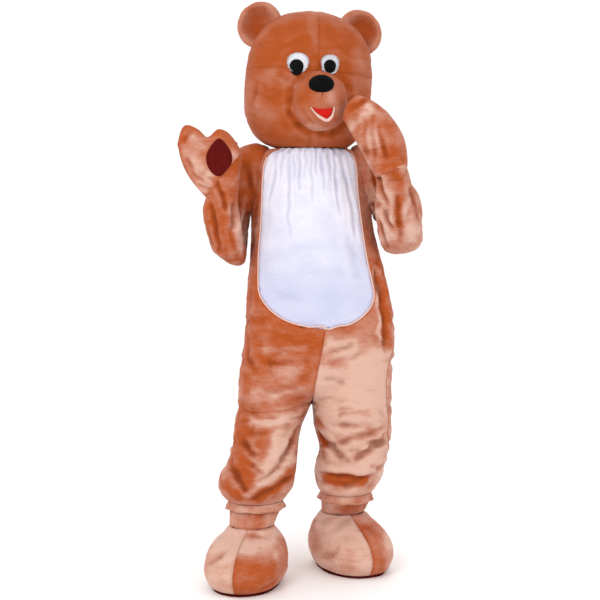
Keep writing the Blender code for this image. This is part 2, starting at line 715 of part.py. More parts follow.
def build_pad(side_name, side, finish, place):
    """A teardrop on the palm, with its point towards the fingers."""
    pad = PAD[side]
    turn = 2 * np.pi * np.arange(16) / 16
    narrow = 1 - 0.42 * np.clip(np.sin(turn), 0, 1) ** 1.5
    flat = np.stack((pad.width * np.cos(turn) * narrow, pad.height * np.sin(turn)), axis=-1)
    lean = np.array(((math.cos(pad.lean), math.sin(pad.lean)), (-math.sin(pad.lean), math.cos(pad.lean))))
    edge = flat @ lean

    def spot(offset):
        return palm_spot(side, side * (pad.x + 0 * offset[:, 0]) + offset[:, 0], pad.z + offset[:, 1])

    low, high = lambda share: pad.seat, lambda share: pad.seat + PAD_THICK
    cushion("palm_pad_" + side_name, spot, edge, 3, low, high, finish, place)


# The boots
def foot_point(side, half, turn, up):
    """turn runs from the toe (0) to the heel (pi). half is -1 on the inner side of the foot, +1 on the outer."""
    foot, ankle = FOOT.at(up), ANKLE[side]
    forward = (foot.toe - foot.heel) / 2 + (foot.toe + foot.heel) / 2 * squared(np.cos(turn), 2.2)
    outward = half * (foot.width * squared(np.clip(np.sin(turn), 0, 1), 2.2) + SEAM / 2)
    x = ankle.x + outward * math.cos(ankle.turnout) + forward * math.sin(ankle.turnout)
    y = ankle.y + outward * math.sin(ankle.turnout) - forward * math.cos(ankle.turnout)
    return points(side * x, y, FLOOR + up)


def build_foot(side_name, side, finishes, place):
    turn = np.linspace(0, np.pi, 9)
    turn, up = np.meshgrid(turn, mix(FOOT.place[0], FOOT.place[-1], np.array(FOOT_SHARES)))
    for name, half in (("boot_inner_", -1), ("boot_outer_", 1)):
        surface = lambda a, b: foot_point(side, half, a, b)
        normal = normals(surface, turn, up, -side * half, 0, np.pi)
        outer = surface(turn, up)
        wall(name + side_name, outer, outer - normal * PLUSH, False, finishes[name], place)


def build_sole(side_name, side, finish, place):
    turn = np.linspace(0, np.pi, 15)
    halves = [foot_point(side, half, turn, FOOT.place[0]) for half in (-1, 1)]
    edge = np.concatenate((halves[0], halves[1][-2:0:-1]))
    rings = [edge + np.array((0, 0, lift - FOOT.place[0])) for lift in (0, SOLE_THICK)]
    tube("boot_sole_" + side_name, rings, finish, place)


def shaft_point(side, u, share):
    """From inside the leg's hem (share 0) down to the top of the foot (share 1)."""
    hem, foot, ankle = LEG[side].at(HEM_DOWN), FOOT.at(FOOT.place[-1]), ANKLE[side]
    top, bottom = -(HEM_DOWN - SHAFT_TUCK), FLOOR + FOOT.place[-1] + SEAM
    z = mix(top, bottom, share)
    inset = PLUSH - SHAFT_OUT + TUCK_EASE * smooth(-HEM_DOWN - 0.008, -HEM_DOWN, z)
    below = smooth(-HEM_DOWN - FRILL, bottom, z)
    turn = 2 * np.pi * u
    gathered = smooth(-HEM_DOWN - FRILL * 0.6, -HEM_DOWN - FRILL * 1.4, z)
    gather = -SHAFT_GATHER_DEPTH * (1 + np.cos(SHAFT_GATHERS * turn)) * gathered
    half_x = mix((hem.outer - hem.inner) / 2 - inset, foot.width, below) + gather
    half_y = mix((hem.back - hem.front) / 2 - inset, (foot.toe + foot.heel) / 2, below) + gather
    x = mix((hem.outer + hem.inner) / 2, ankle.x, below) - half_x * np.cos(turn)
    y = mix((hem.back + hem.front) / 2, ankle.y, below) - half_y * np.sin(turn)
    return points(side * x, y, z)


def build_shaft(side_name, side, finish, place):
    u = np.arange(SHAFT_GATHERS * 3) / (SHAFT_GATHERS * 3)
    u, share = np.meshgrid(u, np.array((0, 0.222, 0.31, 0.5, 0.75, 1)))
    outer = shaft_point(side, u, share)
    normal = normals(lambda a, b: shaft_point(side, a, b), u, share, side, -1, 2)
    inner = outer - normal * PLUSH
    inner[..., 2] = outer[..., 2]
    wall("boot_shaft_" + side_name, outer, inner, True, finish, place)


def hem_point(side, u, fall):
    """The gathered edge below the leg's elastic. It flares and waves as it falls."""
    leg = LEG[side].at(HEM_DOWN)
    turn = 2 * np.pi * u
    share = np.clip(fall / FRILL, 0, 1)
    flare = FRILL_FLARE * share**1.5 + FRILL_WAVE * share * np.cos(HEM_WAVES * turn)
    x = (leg.outer + leg.inner) / 2 - ((leg.outer - leg.inner) / 2 + flare) * np.cos(turn)
    y = (leg.front + leg.back) / 2 - ((leg.back - leg.front) / 2 + flare) * np.sin(turn)
    return points(side * x, y, -HEM_DOWN - SEAM - fall)


def build_hem(side_name, side, finish, place):
    u = np.arange(HEM_WAVES * 4) / (HEM_WAVES * 4)
    u, fall = np.meshgrid(u, np.array((0, 0.35, 1)) * FRILL)
    outer = hem_point(side, u, fall)
    normal = normals(lambda a, b: hem_point(side, a, b), u, fall, side, -1, 2)
    normal[..., 2] = 0
    wall("leg_hem_" + side_name, outer, outer - normal * PLUSH, True, finish, place)


# The head
HEAD_POSE = Matrix.Rotation(HEAD.turn, 3, "Z") @ Matrix.Rotation(HEAD.roll, 3, "Y")


def head_radius(way):
    """Distance from the head's centre to its surface along unit directions in the head's own frame."""
    level = np.maximum(np.hypot(way[..., 0], way[..., 1]), 1e-9)
    across = np.abs(way[..., 0] / level / HEAD.width) ** HEAD.round_plan
    along = np.abs(way[..., 1] / level / HEAD.depth) ** HEAD.round_plan
    plan = np.maximum(across + along, 1e-9) ** (-1 / HEAD.round_plan)
    up = way[..., 2]
    square = np.where(up > 0, HEAD.square_above, HEAD.square_below)
    tall = np.where(up > 0, HEAD.above, HEAD.below)
    return ((level / plan) ** square + (np.abs(up) / tall) ** square) ** (-1 / square)


def head_point(side, turn, polar, grow=0.0, shift=0.0):
    """turn runs from the face (0) to the back of the head (pi), polar from the crown (0) downwards."""
    way = points(side * np.sin(polar) * np.sin(turn), -np.sin(polar) * np.cos(turn), np.cos(polar))
    own = way * (head_radius(way) + grow)[..., None] + np.array((side * SEAM / 2, 0, shift))
    return own @ np.array(HEAD_POSE).T + np.array(HEAD.centre)


def rim_polar(side, turn, height):
    """Where the head's wall meets the level plane of the neck opening."""
    low, high = np.full_like(turn, np.pi / 2), np.full_like(turn, np.pi)
    for _ in range(40):
        middle = (low + high) / 2
        above = head_point(side, turn, middle)[..., 2] > height
        low, high = np.where(above, middle, low), np.where(above, high, middle)
    return low


def build_head_panels(finish, place):
    rim_height = -NECK_DOWN + FIT
    for side_name, side in SIDES:
        turn = np.linspace(0, np.pi, 12)[None, :]
        polar = np.linspace(0, HEAD.cheek, 8)[:, None]
        turn_top, polar_top = np.broadcast_arrays(turn, polar)
        rim = rim_polar(side, turn_top[0], rim_height)
        shares = np.linspace(0, 1, 8)[:, None]
        polar_low = mix(HEAD.cheek, rim[None, :], shares)
        turn_low = np.broadcast_to(turn, polar_low.shape)
        for name, turns, polars, shift in (
            ("head_top_", turn_top, polar_top, SEAM / 2),
            ("head_lower_", turn_low, polar_low, -SEAM / 2),
        ):
            outer = head_point(side, turns, polars, 0, shift)
            inner = head_point(side, turns, polars, -FOAM, shift)
            if shift < 0:
                outer[-1, :, 2] = rim_height
                inner[-1, :, 2] = rim_height
            wall(name + side_name, outer, inner, False, finish, place)


def ball(name, centre, half, segments, rings, finish, place):
    mesh = bmesh.new()
    bmesh.ops.create_uvsphere(mesh, u_segments=segments, v_segments=rings, radius=1)
    mesh.transform(Matrix.Translation(centre) @ Matrix.Diagonal((*half, 1)) @ Matrix.Rotation(math.pi / 2, 4, "X"))
    return add_object(name, mesh, finish, place)


def head_cutter(place):
    """The head as one solid, grown by the seam gap, to shape what sits on it."""
    mesh = bmesh.new()
    bmesh.ops.create_icosphere(mesh, subdivisions=5, radius=1)
    for vert in mesh.verts:
        way = np.array(vert.co.normalized())[None, :]
        own = Vector(way[0]) * float(head_radius(way)[0] + SEAM * 2)
        vert.co = HEAD_POSE @ own + HEAD.centre
    return as_cutter(add_object("head_space", mesh, None, place))


def build_ear(side_name, side, finish, place, head_space):
    mesh = bmesh.new()
    profile = [mesh.verts.new((r, 0, -y)) for r, y in EAR_PROFILE]
    for a, b in zip(profile, profile[1:]):
        mesh.edges.new((a, b))
    data = bpy.data.meshes.new("ear_" + side_name)
    mesh.to_mesh(data)
    mesh.free()
    data.materials.append(finish)
    ear = bpy.data.objects.new("ear_" + side_name, data)
    place.objects.link(ear)
    screw = ear.modifiers.new("turned", "SCREW")
    screw.steps = screw.render_steps = 20
    screw.use_merge_vertices = True
    screw.merge_threshold = 0.0001
    screw.use_normal_calculate = True
    pose = (
        Matrix.Translation(EAR_PLACE[side])
        @ Matrix.Rotation(EAR_TILT[side], 4, "Y")
        @ Matrix.Rotation(side * EAR.flare, 4, "Z")
        @ Matrix.Rotation(math.pi / 2 - EAR.lean, 4, "X")
    )
    ear.matrix_world = pose
    cut(ear, head_space)


def face_spot(x, z):
    """The head's surface point and normal at a place seen from the front."""
    pose = np.array(HEAD_POSE)
    centre = np.array(HEAD.centre)

    def surface(x, z):
        y = np.full_like(x, -0.19)
        for _ in range(12):
            own = (points(x, y, z) - centre) @ pose
            way = own / np.linalg.norm(own, axis=-1, keepdims=True)
            there = (way * head_radius(way)[..., None]) @ pose.T + centre
            y = there[..., 1] + 0 * x
        return points(x, y, z)

    small = 1e-3
    here = surface(x, z)
    across = surface(x + small, z) - surface(x - small, z)
    upwards = surface(x, z + small) - surface(x, z - small)
    normal = np.cross(across, upwards)
    return here, normal / np.linalg.norm(normal, axis=-1, keepdims=True)


def oval(half, count):
    turn = 2 * np.pi * np.arange(count) / count
    return np.stack((half[0] * np.cos(turn), half[1] * np.sin(turn)), axis=-1)


def eye_dome(side, offset_x, offset_z):
    """How high the eye's white stands over the head at an offset from its middle."""
    share = np.hypot(offset_x / EYE_HALF[side][0], offset_z / EYE_HALF[side][1])
    return SEAM + EYE_LIFT * np.sqrt(np.clip(1 - 0.8 * share**2, 0.2, 1))


def build_eye(side_name, side, white, black, place, muzzle_space):
    eye, black_spot = EYE[side], PUPIL[side]

    def white_spot(offset):
        return face_spot(eye.x + offset[:, 0], eye.z + offset[:, 1])

    def pupil_spot(offset):
        x, z = black_spot.x + offset[:, 0], black_spot.z + offset[:, 1]
        where, normal = face_spot(x, z)
        return where + normal * eye_dome(side, x - eye.x, z - eye.z)[:, None], normal

    low = lambda share: SEAM
    dome = lambda share: SEAM + EYE_LIFT * math.sqrt(1 - 0.8 * share**2)
    eye_white = cushion(
        "eye_white_" + side_name, white_spot, oval(EYE_HALF[side], 16), 3, low, dome, white, place
    )
    low = lambda share: PATCH_SEAT
    bulge = lambda share: PATCH_SEAT + PUPIL_LIFT * math.sqrt(1 - 0.9 * share**2)
    pupil = cushion("pupil_" + side_name, pupil_spot, oval(PUPIL_HALF[side], 14), 2, low, bulge, black, place)
    for piece in (eye_white, pupil):
        cut(piece, muzzle_space)


def muzzle_spot(x, z, lift=0.0):
    """The muzzle's front point and normal at a place seen from the front."""
    centre, half = MUZZLE.centre, MUZZLE.half
    across, up = (x - centre.x) / half.x, (z - centre.z) / half.z
    y = centre.y - half.y * np.sqrt(np.clip(1 - across**2 - up**2, 0, 1))
    normal = points(across / half.x, (y - centre.y) / half.y**2, up / half.z)
    normal = normal / np.linalg.norm(normal, axis=-1, keepdims=True)
    return points(x, y, z) + normal * lift, normal


def build_mouth(red, pink, place):
    edge = np.array(MOUTH_EDGE) - np.array(MOUTH_MIDDLE)

    def spot(offset):
        return muzzle_spot(MOUTH_MIDDLE[0] + offset[:, 0], MOUTH_MIDDLE[1] + offset[:, 1])

    low, high = lambda share: PATCH_SEAT, lambda share: PATCH_SEAT + MOUTH_THICK
    cushion("mouth", spot, edge, 3, low, high, red, place)
    lower = np.array(MOUTH_EDGE[4:] + MOUTH_EDGE[:1])
    outward = lower - np.array(MOUTH_MIDDLE)
    lower = lower + outward / np.linalg.norm(outward, axis=1, keepdims=True) * (LIP_RADIUS + 0.002)
    route, _ = muzzle_spot(lower[:, 0], lower[:, 1], LIP_RADIUS + SEAM)
    curve = bpy.data.curves.new("lip", "CURVE")
    curve.dimensions = "3D"
    curve.bevel_depth = LIP_RADIUS
    curve.bevel_resolution = 1
    curve.use_fill_caps = True
    curve.resolution_u = 3
    spline = curve.splines.new("BEZIER")
    spline.bezier_points.add(len(route) - 1)
    for point, where in zip(spline.bezier_points, route):
        point.co = where
        point.handle_left_type = point.handle_right_type = "AUTO"
    curve.materials.append(pink)
    lip = bpy.data.objects.new("lip", curve)
    place.objects.link(lip)


def build_head(finishes, place, cutters):
    build_head_panels(finishes.bear, place)
    head_space = head_cutter(cutters)
    muzzle = ball("muzzle", MUZZLE.centre, MUZZLE.half, 20, 12, finishes.bear, place)
    cut(muzzle, head_space)
    muzzle_half = MUZZLE.half + Vector((1, 1, 1)) * SEAM
    muzzle_space = as_cutter(ball("muzzle_space", MUZZLE.centre, muzzle_half, 20, 12, None, cutters))
    nose = ball("nose", NOSE.centre, NOSE.half, 14, 8, finishes.black, place)
    cut(nose, muzzle_space)
    build_mouth(finishes.red, finishes.pink, place)
    for side_name, side in SIDES:
        build_ear(side_name, side, finishes.bear, place, head_space)
        build_eye(side_name, side, finishes.white, finishes.black, place, muzzle_space)


# The zip
def back_seam(down):
    return suit_point(1, np.ones_like(down), down)


def back_normal(down):
    """The way the cloth faces at the back seam, in the middle plane."""
    small = 1e-3
    along = back_seam(down + small) - back_seam(down - small)
    normal = np.stack((0 * down, -along[..., 2], along[..., 1]), axis=-1)
    return normal / np.linalg.norm(normal, axis=-1, keepdims=True)


def zip_point(x, down, depth):
    seam, normal = back_seam(down), back_normal(down)
    return points(x + 0 * down, seam[..., 1], seam[..., 2]) + normal * depth


def build_zip(finishes, place):
    down = belly_rows(SEAM / 2)[0]
    down = down[down < ZIP_END_DOWN + 0.015]
    x, rows = np.meshgrid(np.linspace(-1, 1, 3) * ZIP_TAPE_HALF, down)
    outer = zip_point(x, rows, -(PLUSH + TAPE_SEAT))
    inner = zip_point(x, rows, -(PLUSH + TAPE_SEAT + ZIP_TAPE_THICK))
    wall("zip_tape", outer, inner, False, finishes.bear, place)
    middle = np.array((SLIDER_DOWN,))
    seat, normal = Vector(zip_point(0, middle, 0.0)[0]), Vector(back_normal(middle)[0])
    lean = Matrix.Rotation(math.atan2(normal.z, normal.y), 4, "X")
    box = bmesh.new()
    bmesh.ops.create_cube(box, size=1)
    depth = PLUSH + SLIDER.thick
    box.transform(Matrix.Diagonal((SLIDER.width, depth, SLIDER.height, 1)))
    slider = add_object("zip_slider", box, finishes.brass, place)
    slider.matrix_world = Matrix.Translation(seat + normal * (SLIDER.thick - PLUSH) / 2) @ lean
    bevel = slider.modifiers.new("edges", "BEVEL")
    bevel.width = 0.0008
    bevel.segments = 2
    hinge = seat + normal * (SLIDER.thick + PULL.thick / 2 + PULL.gap)
    hinge += lean @ Vector((0, 0, SLIDER.height / 4))
    tab = bmesh.new()
    bmesh.ops.create_cube(tab, size=1)
    tab.transform(
        Matrix.Translation((0, 0, (PULL.thick - PULL.length) / 2))
        @ Matrix.Diagonal((PULL.width, PULL.thick, PULL.length, 1))
    )
    pull = add_object("zip_pull", tab, finishes.brass, place)
    pull.matrix_world = Matrix.Translation(hinge) @ lean
    bevel = pull.modifiers.new("edges", "BEVEL")
    bevel.width = 0.0005
    bevel.segments = 2


def main():
    for old in list(bpy.data.objects):
        bpy.data.objects.remove(old, do_unlink=True)
    costume = new_collection("bear_costume")
    cutters = new_collection("cutters", hidden=True)
    finishes = SimpleNamespace(
        bear=material("bear_plush", BEAR, 0.75),
        pale=material("bear_plush_against_the_nap", BEAR_PALE, 0.7),
        white=material("white_plush", WHITE, 0.85),
        maroon=material("maroon_felt", MAROON, 0.9),
        black=material("black_plush", BLACK, 0.5),
        red=material("red_felt", RED, 0.8),
        pink=material("pink_felt", PINK, 0.8),
        brass=material("zip_metal", BRASS, 0.35, 1.0),
    )
    build_belly(finishes.white, costume)
    for side_name, side in SIDES:
        armhole = armhole_cutter(side_name, side, cutters)
        build_front(side_name, side, finishes.bear, costume, armhole)
        build_back(side_name, side, finishes.bear, costume, armhole)
        build_sleeve(side_name, side, finishes.bear, costume)
        build_mitt(side_name, side, finishes.bear, costume)
        build_pad(side_name, side, finishes.maroon, costume)
        build_hem(side_name, side, finishes.pale, costume)
        build_shaft(side_name, side, finishes.pale, costume)
        build_foot(side_name, side, {"boot_inner_": finishes.bear, "boot_outer_": finishes.pale}, costume)
        build_sole(side_name, side, finishes.maroon, costume)
    build_head(finishes, costume, cutters)
    build_zip(finishes, costume)


main()
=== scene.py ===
import math

import bmesh
import bpy
import numpy as np
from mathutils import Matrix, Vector, noise
from mathutils.bvhtree import BVHTree
from mathutils.kdtree import KDTree


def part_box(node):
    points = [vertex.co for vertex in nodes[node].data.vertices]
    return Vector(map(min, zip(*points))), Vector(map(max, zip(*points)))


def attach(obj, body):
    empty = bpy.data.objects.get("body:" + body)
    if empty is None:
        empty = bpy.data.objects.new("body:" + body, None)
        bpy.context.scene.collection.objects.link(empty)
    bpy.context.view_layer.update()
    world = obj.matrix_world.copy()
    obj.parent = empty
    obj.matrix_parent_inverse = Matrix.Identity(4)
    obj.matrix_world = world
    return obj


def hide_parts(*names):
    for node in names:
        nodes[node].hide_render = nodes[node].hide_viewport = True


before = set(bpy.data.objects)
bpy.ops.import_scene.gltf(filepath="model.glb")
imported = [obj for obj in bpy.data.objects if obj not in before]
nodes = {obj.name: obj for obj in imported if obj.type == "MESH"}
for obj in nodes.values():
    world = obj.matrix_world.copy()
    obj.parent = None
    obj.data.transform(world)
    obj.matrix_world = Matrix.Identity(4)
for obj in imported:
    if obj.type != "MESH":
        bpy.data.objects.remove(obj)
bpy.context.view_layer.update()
sides = (("right", -1), ("left", 1))  # the wearer's own sides, and their sign in x
print("frame loaded")


class Wire:  # one output of a material's nodes: sums with it become Math nodes
    def __init__(self, tree, socket):
        self.tree = tree
        self.socket = socket

    def join(self, operation, first, second, clamp=False):
        node = self.tree.nodes.new("ShaderNodeMath")
        node.operation = operation
        node.use_clamp = clamp
        for slot, value in zip(node.inputs, (first, second)):
            plug(self.tree, slot, value)
        return Wire(self.tree, node.outputs[0])

    def __add__(self, other):
        return self.join("ADD", self, other)

    def __radd__(self, other):
        return self.join("ADD", other, self)

    def __sub__(self, other):
        return self.join("SUBTRACT", self, other)

    def __rsub__(self, other):
        return self.join("SUBTRACT", other, self)

    def __mul__(self, other):
        return self.join("MULTIPLY", self, other)

    def __rmul__(self, other):
        return self.join("MULTIPLY", other, self)

    def held(self):  # kept between 0 and 1
        return self.join("ADD", self, 0.0, True)


def plug(tree, slot, value):
    if isinstance(value, Wire):
        tree.links.new(value.socket, slot)
    elif slot.type == "RGBA":
        slot.default_value = (*value, 1)
    else:
        slot.default_value = value


class Paint:  # one material with the nodes that feed its shader
    def __init__(self, name):
        self.material = bpy.data.materials.new(name)
        self.material.use_nodes = True
        self.tree = self.material.node_tree
        self.shader = self.tree.nodes["Principled BSDF"]

    def add(self, kind, output, settings=None, **inputs):
        node = self.tree.nodes.new("ShaderNode" + kind)
        for key, value in (settings or {}).items():
            setattr(node, key, value)
        for key, value in inputs.items():
            slot = next(s for s in node.inputs if key in (s.identifier, s.name))
            plug(self.tree, slot, value)
        return Wire(self.tree, next(s for s in node.outputs if output in (s.identifier, s.name)))

    def grain(self, place, size, detail=2.0, warp=0.0, stretch=None):  # noise, its size in metres
        if stretch:
            place = self.add("Mapping", "Vector", Vector=place, Scale=stretch)
        return self.add("TexNoise", "Fac", Vector=place, Scale=1 / size, Detail=detail, Distortion=warp)

    def blend(self, share, first, second, way="MIX"):
        setting = {"data_type": "RGBA", "blend_type": way}
        colours = {"A_Color": first, "B_Color": second}
        return self.add("Mix", "Result_Color", setting, Factor_Float=share, **colours)

    def bump(self, height, distance, strength, base=None):
        extra = {"Normal": base} if base else {}
        return self.add("Bump", "Normal", Height=height, Distance=distance, Strength=strength, **extra)

    def finish(self, **inputs):
        for key, value in inputs.items():
            plug(self.tree, self.shader.inputs[key.replace("_", " ")], value)
        return self.material


# painted sheen in the nap as patches, strokes and broken gloss: size as a share of the patch, detail,
# warp, stretch
napNoise = (
    (1, 2, 0.5, (1, 1, 1.6)),
    (0.35, 3, 0.8, (0.5, 0.5, 2.8)),
    (0.09, 3, 0.8, (0.8, 0.8, 1.8)),
)
# relief of the pile from lumps to tufts: size, depth, strength, then detail, warp and stretch
pileNoise = (
    (0.018, 0.004, 0.35, 3, 1.0, (1, 1, 1.5)),
    (0.006, 0.0015, 0.35, 3, 0.5),
    (0.0016, 0.0008, 0.5, 2),
)
plushLook = {
    "hair": (0.004, 3),  # size and detail of the finest variation
    "hairWeight": 0.25,
    "patchWeight": 0.75,
    "strokeWeight": 0.8,
    "brokenWeight": 0.9,
    "even": 0.5,  # part of the pale share that counts straight, the rest counts squared
    "creaseShade": (0.34, 0.27, 0.24),  # painted shade: what the colour is multiplied by at the bottom of a crease
    "strokeRelief": (0.010, 0.30),  # depth and strength
    "roughness": 0.62,
    "paleGloss": 0.1,  # taken off the roughness where the nap lies pale
    "sheenRoughness": 0.38,
}


# the nap attribute holds the painted sheen, how pale the pile is painted where it catches the light,
# and relief how deep in a crease or a seam's dip a point is, which paints shade there
def plush(
    name, deep, pale, tint, sheen=0.2, patch=0.13, contrast=1.0, streaks=0.55, shadow=0.8, gloss=0.1
):
    paint = Paint(name)
    place = paint.add("TexCoord", "Object")
    napSheen = paint.add("Attribute", "Fac", {"attribute_name": "napSheen"})
    relief = paint.add("Attribute", "Fac", {"attribute_name": "relief"})
    patches, strokes, broken = (paint.grain(place, patch * size, *kind) for size, *kind in napNoise)
    hair = paint.grain(place, *plushLook["hair"])
    varied = (patches - 0.5) * plushLook["patchWeight"] * contrast
    varied = varied + (strokes - 0.5) * streaks * plushLook["strokeWeight"]
    varied = varied + (broken - 0.5) * streaks * plushLook["brokenWeight"]
    share = (napSheen + varied + (hair - 0.5) * plushLook["hairWeight"]).held()
    even = plushLook["even"]
    # painted sheen: the deep colour mixed towards the pale one by the nap
    sheenAndShade = paint.blend(share * even + share * share * (1 - even), deep, pale)
    # painted shade at the bottom of creases and seam dips, as strong as the shadow setting
    creaseShade = (relief * -1.0 * shadow).held()
    normal = paint.bump(strokes, *plushLook["strokeRelief"])
    for size, depth, strength, *kind in pileNoise:
        normal = paint.bump(paint.grain(place, size, *kind), depth, strength, normal)
    return paint.finish(
        Base_Color=paint.blend(creaseShade, sheenAndShade, plushLook["creaseShade"], "MULTIPLY"),
        Roughness=plushLook["roughness"] - share * plushLook["paleGloss"],
        Normal=normal,
        Sheen_Weight=sheen,
        Sheen_Roughness=plushLook["sheenRoughness"],
        Sheen_Tint=tint,
        Specular_IOR_Level=gloss,
    )


feltLook = {
    "fibres": (0.002, 4, 1.5),  # size, detail and warp
    "blotches": (0.02, 3),
    "fibreWeight": 0.5,
    "blotchWeight": 0.7,
    "darker": 0.35,
    "relief": (0.0006, 0.6),  # depth and strength
    "roughness": 0.85,
    "lightGloss": 0.1,
    "gloss": 0.08,
}


def felt(name, colour, light, sheen=0.2):
    paint = Paint(name)
    place = paint.add("TexCoord", "Object")
    fibres = paint.grain(place, *feltLook["fibres"])
    blotches = paint.grain(place, *feltLook["blotches"])
    varied = fibres * feltLook["fibreWeight"] + blotches * feltLook["blotchWeight"]
    share = (varied - feltLook["darker"]).held()
    return paint.finish(
        Base_Color=paint.blend(share, colour, light),
        Roughness=feltLook["roughness"] - share * feltLook["lightGloss"],
        Normal=paint.bump(fibres, *feltLook["relief"]),
        Sheen_Weight=sheen,
        Sheen_Tint=light,
        Specular_IOR_Level=feltLook["gloss"],
    )


metalLook = {"wear": (0.0012, 4), "worn": 0.55, "roughness": 0.28, "rougher": 0.25}


def metal(name, colour):
    paint = Paint(name)
    place = paint.add("TexCoord", "Object")
    wear = paint.grain(place, *metalLook["wear"])
    return paint.finish(
        Base_Color=paint.blend(wear, colour, [v * metalLook["worn"] for v in colour]),
        Metallic=1.0,
        Roughness=metalLook["roughness"] + wear * metalLook["rougher"],
    )


def ground(name, dark, light, size=0.9, roughness=0.7):
    paint = Paint(name)
    place = paint.add("TexCoord", "Object")
    cloudy = paint.grain(place, size, 2)
    return paint.finish(Base_Color=paint.blend(cloudy, dark, light), Roughness=roughness)


deepBear = (0.40, 0.074, 0.012)  # where the nap lies away from the light
deepHead = (0.37, 0.068, 0.010)
paleBear = (0.64, 0.39, 0.305)  # where it catches the light
bearTint = (1.0, 0.84, 0.76)
whiteTint = (1, 1, 1)
headNap = {"sheen": 0.10, "patch": 0.10, "contrast": 0.35, "streaks": 0.20, "shadow": 0.7}
whiteNap = {"sheen": 0.1, "patch": 0.10, "contrast": 0.4, "streaks": 0.25, "shadow": 0.35}
eyeNap = {"sheen": 0.1, "patch": 0.01, "contrast": 0.8, "streaks": 0.3, "shadow": 0.3}
blackNap = {"sheen": 0.0, "patch": 0.02, "contrast": 1, "streaks": 0.3, "shadow": 0, "gloss": 0.06}
# each plush mixes a deep colour, the nap lying in shade, towards a pale one, the painted sheen, and is
# darkened where shade is painted in creases
finishes = {
    "bear": plush("plushBear", deepBear, paleBear, bearTint, shadow=0.5),
    "head": plush("plushHead", deepHead, paleBear, bearTint, **headNap),
    "white": plush("plushWhite", (0.53, 0.54, 0.71), (0.76, 0.75, 0.84), whiteTint, **whiteNap),
    "eye": plush("plushEye", (0.42, 0.44, 0.52), (0.84, 0.84, 0.86), whiteTint, **eyeNap),
    "black": plush(
        "plushBlack", (0.0015, 0.0015, 0.002), (0.004, 0.004, 0.005), (0.5, 0.5, 0.55), **blackNap
    ),
    "maroon": felt("feltMaroon", (0.085, 0.003, 0.002), (0.13, 0.008, 0.006), 0.0),
    "red": felt("feltRed", (0.52, 0.006, 0.005), (0.64, 0.03, 0.02), 0.05),
    "pink": felt("feltPink", (0.70, 0.44, 0.38), (0.84, 0.62, 0.56)),
    "brass": metal("zipMetal", (0.50, 0.38, 0.20)),
}
print("materials made")


def coordsOf(mesh):
    flat = np.zeros(len(mesh.vertices) * 3)
    mesh.vertices.foreach_get("co", flat)
    return flat.reshape(-1, 3)


def normalsOf(mesh):
    flat = np.zeros(len(mesh.vertices) * 3, np.float32)
    mesh.vertex_normals.foreach_get("vector", flat)
    return flat.reshape(-1, 3).astype(float)


def place(mesh, coords):  # moves every point of a mesh
    mesh.vertices.foreach_set("co", np.ascontiguousarray(coords, np.float32).ravel())
    mesh.update()


def only(piece):  # selected, with nothing else
    bpy.ops.object.select_all(action="DESELECT")
    piece.select_set(True)
    bpy.context.view_layer.objects.active = piece


def applyAll(piece):
    only(piece)
    for modifier in list(piece.modifiers):
        bpy.ops.object.modifier_apply(modifier=modifier.name)


def newPiece(name, mesh, finish):
    data = bpy.data.meshes.new(name)
    mesh.to_mesh(data)
    mesh.free()
    data.materials.append(finishes[finish])
    piece = bpy.data.objects.new(name, data)
    bpy.context.scene.collection.objects.link(piece)
    return piece


def axisOf(names, step=0.03, reach=0.035):  # the middle line up through hollow pieces
    coords = np.concatenate([coordsOf(nodes[n].data) for n in names])
    levels = np.arange(coords[:, 2].min(), coords[:, 2].max() + step, step)
    middles = []
    for level in levels:
        near = coords[np.abs(coords[:, 2] - level) < reach]
        middles.append((near.min(axis=0) + near.max(axis=0)) / 2)
    xs, ys = np.array(middles)[:, :2].T
    return lambda z: Vector((np.interp(z, levels, xs), np.interp(z, levels, ys), z))


def regionsOf(mesh, bend):  # faces that join smoothly, as area, length of border and the faces
    regions = []
    seen = set()
    for first in mesh.faces:
        if first.index in seen:
            continue
        seen.add(first.index)
        group = []
        queue = [first]
        border = 0
        while queue:
            here = queue.pop()
            group.append(here)
            for edge in here.edges:
                if len(edge.link_faces) == 2 and edge.calc_face_angle() < bend:
                    for other in edge.link_faces:
                        if other.index not in seen:
                            seen.add(other.index)
                            queue.append(other)
                else:
                    border += edge.calc_length()
        regions.append((sum(f.calc_area() for f in group), border, group))
    return sorted(regions, key=lambda r: -r[0])


layerChoice = {
    "wallBend": 0.6,  # an edge bent further, in radians, parts two layers
    "flatBend": 1.15,
    "narrow": 0.0017,  # area over border below which a region is only the rim of a wall
    "outward": 0.9,  # unless it faces outwards by this much
}


def outerFaces(mesh, around):  # the outer one of a panel's two layers
    mesh.faces.ensure_lookup_table()
    mesh.faces.index_update()
    if around:
        axis = axisOf(around)
        kept = set()
        for area, border, group in regionsOf(mesh, layerChoice["wallBend"]):
            outward = 0
            for face in group:
                middle = face.calc_center_median()
                outward += face.calc_area() * face.normal.dot((middle - axis(middle.z)).normalized())
            outward /= max(area, 1e-12)
            wide = area / max(border, 1e-9) > layerChoice["narrow"]
            if outward > 0 and (wide or outward > layerChoice["outward"]):
                kept.update(group)
        return kept
    middle = sum((v.co for v in mesh.verts), Vector()) / len(mesh.verts)

    def facing(group):
        return sum(f.calc_area() * f.normal.dot(f.calc_center_median() - middle) for f in group)

    return set(max((r[2] for r in regionsOf(mesh, layerChoice["flatBend"])[:2]), key=facing))


welding = {"merge": 2e-5, "thin": 1e-5, "bend": 0.7, "skew": 1.0}


